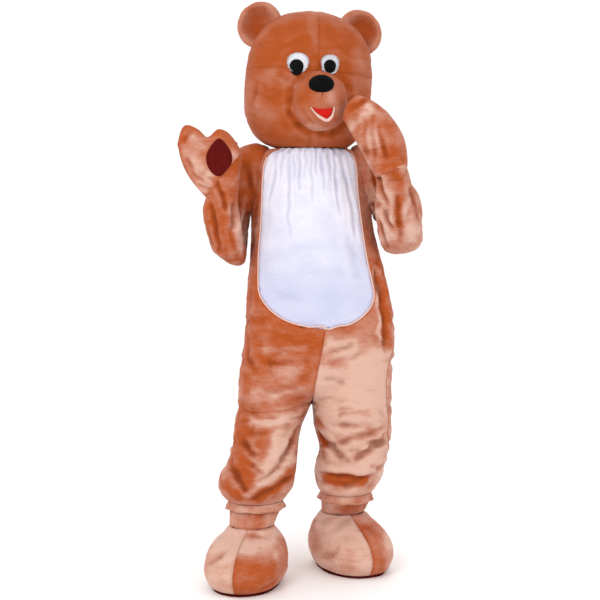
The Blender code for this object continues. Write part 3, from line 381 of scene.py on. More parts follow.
def copyOf(node, name, finish, layer=True, around=None):
    mesh = bmesh.new()
    mesh.from_mesh(nodes[node].data)
    bmesh.ops.remove_doubles(mesh, verts=mesh.verts, dist=welding["merge"])
    bmesh.ops.dissolve_degenerate(mesh, dist=welding["thin"], edges=mesh.edges)
    if layer:
        kept = outerFaces(mesh, around)
        whole = sum(f.calc_area() for f in mesh.faces)
        print("  kept", node, round(sum(f.calc_area() for f in kept) / whole, 3))
        bmesh.ops.delete(mesh, geom=[f for f in mesh.faces if f not in kept], context="FACES")
    most = {"angle_face_threshold": welding["bend"], "angle_shape_threshold": welding["skew"]}
    bmesh.ops.join_triangles(mesh, faces=mesh.faces, **most)
    return newPiece(name, mesh, finish)


def widen(piece, reach):  # the rim goes out to close the seam
    work = bmesh.new()
    work.from_mesh(piece.data)
    moves = []
    for vert in work.verts:
        inner = [e.other_vert(vert).co for e in vert.link_edges if not e.is_boundary]
        if vert.is_boundary and inner:
            moves.append((vert, (vert.co - sum(inner, Vector()) / len(inner)).normalized() * reach))
    for vert, move in moves:
        vert.co += move
    work.to_mesh(piece.data)
    work.free()


def refit(piece, carriers, level, share, above):  # squashed above or below a level, on its carriers
    trees = []
    for name in carriers:
        data = nodes[name].data
        corners = [v.co for v in data.vertices]
        trees.append(BVHTree.FromPolygons(corners, [p.vertices for p in data.polygons]))

    def front(x, z):
        hits = [t.ray_cast(Vector((x, -1, z)), Vector((0, 1, 0)))[0] for t in trees]
        return min((h.y for h in hits if h), default=None)

    coords = coordsOf(piece.data)
    for point in coords:
        if (point[2] > level) == above:
            moved = level + (point[2] - level) * share
            before, after = front(point[0], point[2]), front(point[0], moved)
            if before is not None and after is not None:
                point[1] += after - before
            point[2] = moved
    place(piece.data, coords)


rounding = {"crease": 0.7, "steps": 3, "pull": 0.85}  # firmness of sharp edges, and how the cage grows


# subdivides a piece after its cage is pulled out, so that the round surface keeps its size
def rounded(piece, levels, sharp=None, corners="ALL"):
    mesh = piece.data
    if sharp:
        work = bmesh.new()
        work.from_mesh(mesh)
        crease = work.edges.layers.float.new("crease_edge")
        for edge in work.edges:
            if len(edge.link_faces) == 2 and edge.calc_face_angle() > sharp:
                edge[crease] = rounding["crease"]
        work.to_mesh(mesh)
        work.free()
    start = coordsOf(mesh)
    control = start.copy()
    smoother = piece.modifiers.new("round", "SUBSURF")
    smoother.boundary_smooth = corners
    smoother.levels = 1
    for step in range(rounding["steps"]):
        graph = bpy.context.evaluated_depsgraph_get()
        limit = coordsOf(piece.evaluated_get(graph).data)[: len(start)]
        control += (start - limit) * rounding["pull"]
        place(mesh, control)
    smoother.levels = levels
    applyAll(piece)
    piece.data.shade_smooth()


def field(coords, sizes, seed, step=7.31):  # smooth noise, its sizes in metres along x, y and z
    scaled = coords / np.array(sizes) + seed * step
    return np.array([noise.noise(Vector(p)) for p in scaled])


def edgeDistance(mesh, coords):  # from each point to the nearest one on a rim
    work = bmesh.new()
    work.from_mesh(mesh)
    rim = [v.index for v in work.verts if v.is_boundary]
    work.free()
    if not rim:
        return np.full(len(coords), 1.0)
    tree = KDTree(len(rim))
    for i, index in enumerate(rim):
        tree.insert(coords[index], i)
    tree.balance()
    return np.array([tree.find(p)[2] for p in coords])


def wander(coords, size, reach, seed):  # takes drawn lines off their straight course
    return np.stack([field(coords, (size, size, size), seed + i) for i in (0, 1)], 1) * reach


def nearLine(flat, x0, z0, x1, z1, width):  # share of the line passed, and widths away from it
    start = np.array((x0, z0))
    run = np.array((x1, z1)) - start
    reach = np.clip((flat - start) @ run / (run @ run), 0, 1)
    return reach, np.linalg.norm(flat - start - reach[:, None] * run, axis=1) / width


def byHeight(coords, stops):  # a value that runs between stops of height and value
    heights, values = zip(*stops)
    return np.interp(coords[:, 2], heights, values)


creaseLook = {
    "wander": (0.05, 0.010, 3),  # size, reach and seed
    "facing": 2.2,  # how soon a crease fades on ground that turns away
    "taper": 1.3,
    "shoulder": (0.4, 1.9, 0.8),  # height, place and spread of the swelling beside a crease
}


def creaseLift(coords, normals, creases, axes, facing, gain):
    lift = np.zeros(len(coords))
    flat = coords[:, axes] + wander(coords, *creaseLook["wander"])
    away = [i for i in range(3) if i not in axes][0]
    towards = np.clip(normals[:, away] * facing * creaseLook["facing"], 0, 1)
    rise, apart, spread = creaseLook["shoulder"]
    for *line, depth in creases:
        reach, distance = nearLine(flat, *line)
        taper = np.clip(1 - np.abs(reach - 0.5) * creaseLook["taper"], 0, 1) ** 0.5
        core = np.exp(-(distance**2))
        shoulder = rise * np.exp(-((distance - apart) ** 2) / spread)
        lift += towards * taper * depth * gain * (core - shoulder)
    return lift


def calmUnder(coords, node, room=0.004, edge=2.5):  # 0 below a pad that is sewn on, 1 around it
    low, high = (np.array(corner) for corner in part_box(node))
    away = (coords - (low + high) / 2) / ((high - low) / 2 + room)
    return np.clip(np.hypot(away[:, 0], away[:, 2]) * edge - edge, 0, 1)


def cupOf(coords, normals, radius=0.78):  # 1 in the middle of the front, 0 at that share of the rim
    low, high = coords.min(axis=0), coords.max(axis=0)
    spread = np.hypot(*(((coords - (low + high) / 2) / ((high - low) / 2))[:, (0, 2)].T))
    return np.clip(-normals[:, 1] * 2, 0, 1) * np.clip(1 - (spread / radius) ** 2, 0, 1)


# what a piece's own dictionary leaves out; lengths in metres
usualLook = {
    "body": "suit",
    "levels": 3,  # of subdivision
    "sharp": 0.9,  # radians past which an edge of a stuffed piece stays firm
    "corners": "ALL",
    "around": None,  # the hollow pieces whose middle line tells outside from inside
    "reach": 0.0005,  # how far the rim goes out to close the seam
    "wall": 0.0025,
    "flatEdge": False,  # nothing of it hangs below its solid
    "piped": False,
    "broad": (0.07, 0.07, 0.05),  # sizes of the rumples
    "small": (0.030, 0.030, 0.018),
    "lines": (0.11, 0.11, 0.045),
    "fade": 0.03,  # rumples end this near to an edge
    "seam": 0.0018,  # depth of the dip along an edge
    "gain": 2.0,  # on the depth of the drawn creases
    "creases": (),  # lines, their two axes, and the side that they are seen from
    # each piece's own nap is its painted sheen, one value or stops by height
    "sheenAndShade": (),  # painted sheen and shade strokes: x and z of both ends, width, and how much paler or deeper
    "under": None,  # the pad that lies on it
    "zones": None,  # rumple by height
    "swell": None,  # lift by height
    "cup": 0,  # depth of an ear's hollow, which is also painted in shade
}
rumpling = {
    "weights": (1.5, 0.8, 1.3),  # broad, small and sharp wrinkles
    "mask": (0.10, 0.10, 0.08),  # where the sharp ones come
    "sharp": (5, 1.5),
    "dip": 0.007,  # width of the seam's dip, then height, place and width of the swelling beside it
    "puff": (0.5, 0.016, 0.009),
    "full": 0.007,  # lift at which the painted highlight on a ridge, and the painted shade in a crease, are strongest
    "wander": (0.04, 0.014, 5),
    "napWeights": (0.35, 0.15, 0.5),  # lift, broad rumples and cup: a painted highlight on ridges and rumples, painted shade in an ear's cup
    "strokeEdge": 2.6,
    "creaseShadeEdge": 1.6,
}


def dress(piece, look):
    mesh = piece.data
    coords = coordsOf(mesh)
    normals = normalsOf(mesh)
    seed = look["seed"]
    edge = edgeDistance(mesh, coords)
    inside = np.clip(edge / look["fade"], 0, 1)
    broad = field(coords, look["broad"], seed)
    small = field(coords, look["small"], seed + 1)
    lines = field(coords, look["lines"], seed + 2)
    mask = np.clip(field(coords, rumpling["mask"], seed + 3) * 2 + 0.5, 0, 1)
    narrow, power = rumpling["sharp"]
    wrinkle = np.clip(1 - np.abs(lines) * narrow, 0, 1) ** power * mask
    rumple = look["rumple"]
    if look["zones"]:
        rumple = rumple * byHeight(coords, look["zones"])
    wide, fine, keen = rumpling["weights"]
    lift = rumple * inside * (broad * wide + small * fine - wrinkle * keen)
    for creases, axes, facing in look["creases"]:
        lift += creaseLift(coords, normals, creases, list(axes), facing, look["gain"]) * inside**0.5
    if look["under"]:
        lift *= calmUnder(coords, look["under"])
    sink = look["seam"]
    puff, puffAt, puffWidth = rumpling["puff"]
    lift -= sink * np.exp(-((edge / rumpling["dip"]) ** 2))
    lift += puff * sink * np.exp(-(((edge - puffAt) / puffWidth) ** 2))
    if look["swell"]:
        lift += byHeight(coords, look["swell"])
    height = np.clip(lift / rumpling["full"], -1, 1)
    cupped = cupOf(coords, normals) if look["cup"] else np.zeros(len(coords))
    coords = coords + cupped[:, None] * np.array((0, look["cup"], 0))
    place(mesh, coords + normals * lift[:, None])
    # painted sheen: how pale the nap is painted, then strokes, ridges and an ear's cup
    napSheen = look["napSheen"]  # one value, or stops by height
    napSheen = byHeight(coords, napSheen) if isinstance(napSheen, tuple) else np.full(len(coords), napSheen)
    flat = coords[:, (0, 2)] + wander(coords, *rumpling["wander"])
    # painted sheen and shade along the strokes, then a painted highlight on ridges and rumples and
    # painted shade in an ear's cup
    for *line, amount in look["sheenAndShade"]:
        napSheen = napSheen + amount * np.exp(-(nearLine(flat, *line)[1] ** rumpling["strokeEdge"]))
    byLift, byBroad, byCup = rumpling["napWeights"]
    napSheen = napSheen + byLift * height + byBroad * broad - byCup * cupped
    # painted shade: deepest at the bottom of creases and seam dips
    creaseShade = -np.clip(-height, 0, 1) ** rumpling["creaseShadeEdge"]
    for key, values in (("napSheen", napSheen), ("relief", creaseShade)):
        layer = mesh.attributes.new(key, "FLOAT", "POINT")
        layer.data.foreach_set("value", values.astype(np.float32))


def thicken(piece, thickness):
    wall = piece.modifiers.new("wall", "SOLIDIFY")
    wall.thickness = thickness
    wall.offset = -1
    applyAll(piece)
    piece.data.shade_smooth()


def rimLoop(piece):  # places and normals along the longest rim, from its first edge on
    mesh = bmesh.new()
    mesh.from_mesh(piece.data)
    mesh.edges.index_update()
    loops = []
    left = {e.index: e for e in mesh.edges if e.is_boundary}
    while left:
        home, vert = left.pop(min(left)).verts
        loop = [(home.co.copy(), home.normal.copy())]
        while vert != home:
            loop.append((vert.co.copy(), vert.normal.copy()))
            onward = [e.index for e in vert.link_edges if e.index in left]
            if not onward:
                break
            vert = left.pop(onward[0]).other_vert(vert)
        loops.append(loop)
    mesh.free()
    return max(loops, key=len)


def declare(piece, node, look):
    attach(piece, look["body"])
    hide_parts(node)
    "fill" in look


edgeRoom = 0.0005


def cloth(node, ownLook):  # a thin wall on the outside of a hollow or flat solid
    look = {**usualLook, **ownLook}
    piece = copyOf(node, node + "_cloth", look["finish"], True, look["around"])
    rounded(piece, look["levels"], None, look["corners"])
    widen(piece, look["reach"])
    dress(piece, look)
    rim = rimLoop(piece) if look["piped"] else None
    thicken(piece, look["wall"])
    if look["flatEdge"]:
        coords = coordsOf(piece.data)
        coords[:, 2] = np.maximum(coords[:, 2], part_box(node)[0][2] - edgeRoom)
        place(piece.data, coords)
    declare(piece, node, look)
    return rim


def stuffed(node, ownLook):  # the whole of a full solid, rounded
    look = {**usualLook, **ownLook}
    piece = copyOf(node, node + "_stuffed", look["finish"], False)
    rounded(piece, look["levels"], look["sharp"])
    if "refit" in look:
        refit(piece, *look["refit"])
    dress(piece, look)
    declare(piece, node, look)


# drawn creases: x and z of both ends, width, and depth, which is negative in a valley
frontLines = (
    (-0.233, -0.943, -0.195, -0.985, 0.010, -0.005),
    (-0.092, -1.002, -0.043, -0.919, 0.010, -0.005),
    (-0.111, -1.015, -0.066, -0.959, 0.008, -0.004),
    (-0.292, -1.043, -0.209, -1.108, 0.013, 0.005),
    (-0.209, -1.108, -0.059, -1.018, 0.013, 0.005),
    (-0.269, -1.018, -0.209, -1.089, 0.009, -0.005),
    (-0.199, -1.118, -0.072, -1.060, 0.009, -0.005),
    (-0.234, -0.658, -0.183, -0.723, 0.011, -0.004),
    (-0.218, -0.797, -0.040, -0.787, 0.010, -0.003),
    (-0.163, -0.704, -0.014, -0.694, 0.010, -0.003),
    (-0.231, -1.005, -0.161, -1.031, 0.008, -0.003),
    (-0.161, -1.059, -0.066, -0.984, 0.008, -0.003),
    (-0.215, -0.865, -0.110, -0.885, 0.010, -0.003),
    (-0.190, -0.925, -0.085, -0.905, 0.009, -0.003),
    (0.012, -0.939, 0.107, -1.022, 0.011, -0.006),
    (0.123, -1.025, 0.246, -0.952, 0.010, -0.005),
    (0.025, -1.045, 0.174, -1.052, 0.011, 0.004),
    (0.031, -1.071, 0.161, -1.078, 0.009, -0.005),
    (0.106, -1.106, 0.220, -1.060, 0.009, -0.004),
    (0.031, -0.675, 0.128, -0.642, 0.010, -0.004),
    (0.057, -0.694, 0.192, -0.672, 0.010, -0.003),
    (0.031, -0.748, 0.096, -0.761, 0.009, -0.003),
    (0.018, -0.826, 0.106, -0.819, 0.009, -0.003),
    (0.057, -0.901, 0.194, -0.911, 0.010, -0.004),
    (0.074, -0.970, 0.220, -0.918, 0.010, -0.004),
    (0.225, -0.378, 0.263, -0.655, 0.009, 0.005),
    (0.205, -0.400, 0.240, -0.660, 0.008, -0.004),
    (0.202, -0.402, 0.226, -0.501, 0.008, -0.004),
    (-0.227, -0.560, -0.211, -0.672, 0.010, -0.004),
    (-0.205, -0.470, -0.222, -0.560, 0.009, -0.003),
    (-0.186, -0.150, -0.196, -0.330, 0.009, -0.004),
)
backLines = (
    (-0.185, -0.560, -0.040, -0.645, 0.012, -0.005),
    (0.190, -0.560, 0.045, -0.655, 0.012, -0.005),
    (-0.150, -0.705, -0.020, -0.760, 0.011, -0.004),
    (0.160, -0.700, 0.030, -0.770, 0.011, -0.004),
    (-0.245, -0.955, -0.095, -1.005, 0.010, -0.005),
    (-0.215, -0.985, -0.110, -1.040, 0.009, -0.004),
    (0.050, -1.010, 0.215, -0.970, 0.010, -0.005),
    (0.070, -0.960, 0.200, -0.930, 0.009, -0.004),
    (-0.240, -1.085, -0.110, -1.060, 0.011, 0.004),
    (0.040, -1.062, 0.190, -1.085, 0.011, 0.004),
    (0.120, -0.180, 0.150, -0.420, 0.010, -0.003),
    (-0.125, -0.160, -0.150, -0.400, 0.010, -0.003),
    (0.060, -0.080, 0.070, -0.300, 0.010, -0.002),
    (-0.060, -0.070, -0.075, -0.280, 0.010, -0.002),
    (-0.090, -0.850, -0.210, -0.830, 0.010, -0.003),
    (0.080, -0.850, 0.210, -0.835, 0.010, -0.003),
)
# seen from the side: y and z of both ends
sideLines = (
    (-0.120, -0.560, 0.110, -0.600, 0.012, -0.004),
    (-0.100, -0.700, 0.120, -0.730, 0.012, -0.004),
    (-0.180, -0.960, 0.020, -0.990, 0.010, -0.005),
    (-0.150, -1.040, 0.040, -1.070, 0.010, -0.005),
    (-0.060, -0.300, 0.040, -0.480, 0.012, -0.003),
    (-0.100, -0.870, 0.080, -0.850, 0.010, -0.003),
)
suitZones = ((-1.15, 1.5), (-0.95, 1.6), (-0.82, 1.0), (-0.6, 1.0), (-0.4, 0.7), (0, 0.6))
# the jumpsuit's panels, each in one from neck to ankle; cut is width, length and area laid flat
# the nap and brushed strokes of each panel are painted sheen and shade, paler where light is caught and
# deeper where shade falls
panels = {
    "front_right": {
        "seed": 11,
        "cut": (0.38, 1.22, 0.290),
        "napSheen": (
            (-1.15, 0.60), (-1.0, 0.62), (-0.85, 0.42), (-0.70, 0.15),
            (-0.6, 0.12), (-0.4, 0.05), (-0.2, 0.35), (0, 0.30),
        ),
        "sheenAndShade": (
            (-0.255, -0.88, -0.235, -1.02, 0.040, -0.7),
            (-0.275, -1.08, -0.235, -1.105, 0.026, -0.9),
            (-0.165, -1.105, -0.070, -1.050, 0.020, -0.9),
            (-0.205, -1.060, -0.195, -1.075, 0.020, -0.5),
            (-0.150, -0.93, -0.165, -0.99, 0.020, -0.5),
            (-0.120, -1.02, -0.080, -0.90, 0.050, 0.35),
            (-0.200, -0.800, -0.040, -0.788, 0.010, 0.40),
            (-0.190, -0.890, -0.060, -0.880, 0.012, 0.35),
            (-0.160, -0.660, -0.030, -0.655, 0.014, 0.35),
            (-0.225, -0.480, -0.215, -0.640, 0.022, -0.10),
            (-0.130, -0.735, -0.060, -0.730, 0.030, 0.35),
        ),
    },
    "front_left": {
        "seed": 17,
        "cut": (0.36, 1.22, 0.250),
        "napSheen": (
            (-1.15, 0.80), (-1.0, 0.95), (-0.8, 0.95), (-0.66, 0.80),
            (-0.58, 0.40), (-0.4, 0.15), (-0.2, 0.40), (0, 0.35),
        ),
        "sheenAndShade": (
            (0.045, -1.082, 0.160, -1.086, 0.018, -1.1),
            (0.020, -0.90, 0.030, -1.00, 0.016, -0.7),
            (0.060, -0.76, 0.180, -0.76, 0.060, 0.2),
            (0.030, -0.690, 0.110, -0.705, 0.018, -0.45),
            (0.060, -0.625, 0.130, -0.640, 0.022, 0.4),
            (0.232, -0.40, 0.255, -0.66, 0.014, -0.5),
            (0.205, -0.40, 0.225, -0.62, 0.010, 0.5),
        ),
    },
    "back_right": {
        "seed": 23,
        "cut": (0.54, 1.22, 0.430),
        "napSheen": ((-1.15, 0.6), (-0.9, 0.55), (-0.6, 0.25), (0, 0.12)),
    },
    "back_left": {
        "seed": 29,
        "cut": (0.56, 1.22, 0.480),
        "napSheen": ((-1.15, 0.7), (-0.9, 0.65), (-0.6, 0.3), (0, 0.12)),
    },
}
panelLook = {
    "finish": "bear",
    "slot": "bear_plush",
    "held": "hung",
    "rumple": 0.0022,
    "zones": suitZones,
    "seam": 0.0016,
    "reach": 0.0009,
    "gain": 1.55,
}
for node, ownPanel in panels.items():
    sideName = node.split("_")[1]
    outwards = -1 if sideName == "right" else 1
    panel = {
        **panelLook,
        **ownPanel,
        "around": ("front_" + sideName, "back_" + sideName),
        "creases": ((frontLines, (0, 2), -1), (backLines, (0, 2), 1), (sideLines, (1, 2), outwards)),
    }
    cloth(node, panel)
print("suit panels made")

bellyLines = (
    (-0.114, -0.006, -0.137, -0.173, 0.005, -0.0035),
    (-0.095, -0.006, -0.110, -0.110, 0.004, -0.0025),
    (-0.075, -0.006, -0.079, -0.276, 0.005, -0.0035),
    (-0.059, -0.006, -0.062, -0.120, 0.004, -0.0025),
    (-0.043, -0.006, -0.040, -0.141, 0.005, -0.0035),
    (-0.024, -0.006, -0.022, -0.100, 0.004, -0.0025),
    (-0.005, -0.006, 0.002, -0.173, 0.005, -0.0035),
    (0.011, -0.006, 0.017, -0.090, 0.004, -0.0025),
    (0.027, -0.006, 0.037, -0.141, 0.005, -0.0035),
    (0.045, -0.006, 0.062, -0.110, 0.004, -0.0025),
    (0.063, -0.006, 0.095, -0.222, 0.005, -0.0035),
    (0.088, -0.006, 0.141, -0.286, 0.006, -0.0040),
    (-0.162, -0.462, -0.040, -0.494, 0.016, -0.0020),
    (-0.040, -0.404, 0.153, -0.413, 0.014, -0.0010),
    (-0.120, -0.340, 0.020, -0.330, 0.020, -0.0015),
    (0.120, -0.300, 0.150, -0.440, 0.014, -0.0020),
)
belly = {
    "finish": "white",
    "slot": "white_plush",
    "seed": 31,
    "levels": 2,
    "cut": (0.46, 0.62, 0.245),
    "held": "gathered",
    "rumple": 0.0010,
    "seam": 0.0012,
    "gain": 1.3,
    "corners": "PRESERVE_CORNERS",
    "napSheen": ((-0.6, 0.1), (-0.48, 0.2), (-0.28, 0.8), (-0.15, 1.0), (0, 0.8)),
    "creases": ((bellyLines, (0, 2), -1),),
    "fade": 0.006,
    "around": tuple(panels),
    "piped": True,
}
bellyRim = cloth("belly_panel", belly)

sleeveLines = {
    -1: (
        (-0.224, -0.164, -0.257, -0.348, 0.010, 0.004),
        (-0.244, -0.190, -0.251, -0.322, 0.008, -0.005),
        (-0.323, -0.190, -0.294, -0.336, 0.008, -0.004),
        (-0.300, -0.120, -0.270, -0.200, 0.008, -0.004),
        (-0.345, -0.260, -0.300, -0.370, 0.008, -0.003),
        (-0.210, -0.060, -0.190, -0.180, 0.010, -0.004),
    ),
    1: (
        (0.207, -0.189, 0.258, -0.266, 0.008, -0.005),
        (0.207, -0.225, 0.243, -0.327, 0.008, -0.004),
        (0.193, -0.264, 0.219, -0.335, 0.007, -0.004),
        (0.264, -0.158, 0.284, -0.300, 0.009, -0.004),
        (0.194, -0.076, 0.239, -0.221, 0.008, -0.005),
        (0.310, -0.140, 0.345, -0.250, 0.009, -0.003),
        (0.235, -0.060, 0.330, -0.020, 0.010, -0.003),
    ),
}
sleeveNap = {
    -1: ((-0.4, 0.25), (-0.2, 0.15), (0, 0.05)),
    1: ((-0.36, 0.60), (-0.2, 0.55), (0, 0.30)),
}
for sideName, side in sides:
    sleeve = {
        "finish": "bear",
        "slot": "bear_plush",
        "seed": 41 + side,
        "cut": (0.47, 0.74, 0.285),
        "held": "hung",
        "rumple": 0.0026,
        "seam": 0.0016,
        "napSheen": sleeveNap[side],
        "sheenAndShade": (
            (-0.255, -0.20, -0.235, -0.34, 0.014, 0.6),
            (-0.225, -0.22, -0.222, -0.30, 0.010, 0.4),
            (0.225, -0.20, 0.240, -0.30, 0.018, 0.3),
            (0.300, -0.18, 0.320, -0.30, 0.016, 0.4),
            (0.270, -0.10, 0.275, -0.25, 0.016, -0.4),
        ),
        "creases": ((sleeveLines[side], (0, 2), -1), (sleeveLines[side], (0, 2), 1)),
        "fade": 0.02,
        "broad": (0.05, 0.05, 0.07),
        "lines": (0.06, 0.06, 0.08),
    }
    cloth("sleeve_" + sideName, sleeve)
print("belly and sleeves made")

mittLines = {
    -1: (
        (-0.400, 0.010, -0.370, 0.035, 0.007, -0.002),
        (-0.395, -0.040, -0.372, -0.075, 0.007, -0.0025),
        (-0.372, -0.085, -0.330, -0.120, 0.006, -0.0030),
        (-0.345, -0.090, -0.290, -0.125, 0.007, -0.0030),
        (-0.325, -0.100, -0.275, -0.070, 0.006, -0.0025),
        (-0.300, -0.115, -0.255, -0.055, 0.006, -0.0030),
        (-0.350, -0.128, -0.305, -0.150, 0.006, -0.0030),
    ),
    1: (
        (0.165, 0.074, 0.162, -0.043, 0.008, -0.003),
        (0.184, 0.080, 0.184, -0.049, 0.009, -0.003),
        (0.110, 0.103, 0.195, 0.160, 0.008, -0.003),
        (0.205, 0.050, 0.230, -0.040, 0.009, -0.003),
    ),
}
mittZones = {
    -1: ((-0.17, 1.8), (-0.11, 1.3), (-0.075, 0.35), (0.0, 0.35), (0.05, 1.0)),
    1: ((-0.11, 1.6), (0.15, 0.9)),
}
for sideName, side in sides:
    for kind in ("palm", "back"):
        mitt = {
            "finish": "bear",
            "slot": "bear_plush",
            "seed": 51 + side,
            "cut": (0.26, 0.27, 0.045),
            "held": "hung",
            "rumple": 0.0020,
            "zones": mittZones[side],
            "seam": 0.0012,
            "napSheen": 0.20,
            "sheenAndShade": (
                (-0.385, -0.02, -0.330, -0.13, 0.020, 0.45),
                (-0.320, -0.10, -0.255, -0.03, 0.018, 0.55),
                (-0.375, 0.02, -0.350, -0.01, 0.014, 0.35),
                (0.120, 0.060, 0.175, 0.110, 0.016, 0.6),
                (0.175, 0.110, 0.240, 0.090, 0.016, 0.4),
                (0.180, 0.04, 0.190, -0.04, 0.026, 0.35),
                (0.105, 0.040, 0.180, -0.080, 0.012, 0.5),
            ),
            "creases": ((mittLines[side], (0, 2), 1 if side > 0 and kind == "palm" else -1),),
            "fade": 0.02,
        }
        if kind == "palm":
            mitt["under"] = "palm_pad_" + sideName
        cloth("mitt_" + kind + "_" + sideName, mitt)
    pad = {
        "finish": "maroon",
        "slot": "maroon_felt",
        "seed": 61,
        "levels": 2,
        "cut": (0.084, 0.120, 0.0075),
        "held": "laid",
        "rumple": 0.0003,
        "seam": 0,
        "napSheen": 0.3,
    }
    stuffed("palm_pad_" + sideName, pad)
print("mitts made")

footLines = {
    -1: (
        (-0.344, -1.257, -0.248, -1.231, 0.008, -0.003),
        (-0.332, -1.298, -0.230, -1.236, 0.009, -0.003),
        (-0.158, -1.365, -0.114, -1.350, 0.008, -0.002),
        (-0.220, -1.225, -0.130, -1.238, 0.007, -0.003),
    ),
    1: (
        (-0.001, -1.243, 0.123, -1.217, 0.008, -0.003),
        (0.058, -1.252, 0.116, -1.225, 0.007, -0.003),
        (0.140, -1.235, 0.235, -1.260, 0.008, -0.003),
        (0.030, -1.340, 0.080, -1.300, 0.010, -0.002),
    ),
}
for sideName, side in sides:
    hem = {
        "finish": "bear",
        "slot": "pale_plush",
        "seed": 71 + side,
        "cut": (0.86, 0.024, None),
        "held": "gathered",
        "levels": 2,
        "rumple": 0.0022,
        "seam": 0.0004,
        "napSheen": 0.6,
        "fade": 0.008,
        "small": (0.014, 0.014, 0.05),
        "broad": (0.03, 0.03, 0.08),
    }
    cloth("leg_hem_" + sideName, hem)
    shaft = {
        "finish": "bear",
        "slot": "pale_plush",
        "seed": 75 + side,
        "cut": (0.64, 0.105, None),
        "held": "gathered",
        "rumple": 0.0028,
        "seam": 0.0010,
        "levels": 2,
        "napSheen": 0.50 if side < 0 else 0.30,
        "sheenAndShade": (
            (0.050, -1.14, 0.060, -1.21, 0.030, 0.5),
            (-0.180, -1.14, -0.165, -1.20, 0.020, -0.3),
        ),
        "fade": 0.02,
        "small": (0.016, 0.016, 0.05),
        "lines": (0.05, 0.05, 0.10),
        "around": ("boot_shaft_" + sideName,),
    }
    cloth("boot_shaft_" + sideName, shaft)
    # painted sheen of each half of the boot, one half pale and the other deep
    for kind, napSheen in (("inner", 0.05 if side < 0 else 0.85), ("outer", 0.85 if side < 0 else 0.15)):
        boot = {
            "finish": "bear",
            "slot": "pale_plush" if kind == "outer" else "bear_plush",
            "seed": 81 + side,
            "cut": (0.42, 0.30, 0.092),
            "held": "stretched",
            "rumple": 0.0014,
            "seam": 0.0024,
            "napSheen": napSheen,
            "sheenAndShade": (
                (-0.300, -1.245, -0.110, -1.235, 0.030, 0.9),
                (-0.105, -1.28, -0.090, -1.36, 0.020, 0.5),
                (0.010, -1.225, 0.230, -1.225, 0.020, 0.5),
                (0.250, -1.27, 0.262, -1.36, 0.022, 0.6),
                (-0.330, -1.27, -0.290, -1.25, 0.020, -0.4),
                (0.000, -1.25, 0.002, -1.32, 0.016, -0.35),
            ),
            "creases": ((footLines[side], (0, 2), -1), (footLines[side], (0, 2), 1)),
            "fade": 0.015,
        }
        cloth("boot_" + kind + "_" + sideName, boot)
    sole = {
        "finish": "maroon",
        "slot": "maroon_felt",
        "seed": 91,
        "levels": 2,
        "fill": 1.0,
        "rumple": 0.0,
        "seam": 0,
        "napSheen": 0.3,
    }
    stuffed("boot_sole_" + sideName, sole)
print("boots made")

headLines = (
    (-0.105, 0.222, -0.060, 0.190, 0.009, -0.0022),
    (-0.175, 0.200, -0.190, 0.130, 0.010, -0.0015),
    (-0.110, 0.240, -0.070, 0.236, 0.006, -0.0010),
    (0.105, 0.230, 0.150, 0.222, 0.007, -0.0012),
    (0.020, 0.390, 0.022, 0.300, 0.007, -0.0008),
    (-0.040, 0.330, -0.120, 0.300, 0.010, -0.0008),
    (0.100, 0.150, 0.150, 0.130, 0.010, -0.0012),
    (-0.060, 0.020, 0.050, 0.010, 0.008, -0.0010),
)
# a dip round the muzzle that carries painted shadow, deepest below and on the wearer's right
muzzleRing = {
    "middle": (0.024, 0.137),
    "radii": (0.099, 0.105),
    "width": 0.010,
    "depth": -0.0030,
    "parts": 16,
    "evenness": (0.6, 0.2),
}
ring = []
for k in range(muzzleRing["parts"] + 1):
    turn = 2 * math.pi * k / muzzleRing["parts"]
    ways = (math.cos(turn), math.sin(turn))
    spot = [m + r * w for m, r, w in zip(muzzleRing["middle"], muzzleRing["radii"], ways)]
    even, uneven = muzzleRing["evenness"]
    ring.append((*spot, muzzleRing["depth"] * (even - uneven * ways[0] - uneven * ways[1])))
headLines += tuple((*a[:2], *b[:2], muzzleRing["width"], a[2]) for a, b in zip(ring, ring[1:]))
headNodes = ["head_" + kind + "_" + name for kind in ("top", "lower") for name, side in sides]
eyeHeight = {"white": 0.70, "pupil": 0.74}  # what is left of the height above the pupil's middle


def pupilMiddle(sideName):
    low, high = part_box("pupil_" + sideName)
    return (low[2] + high[2]) / 2


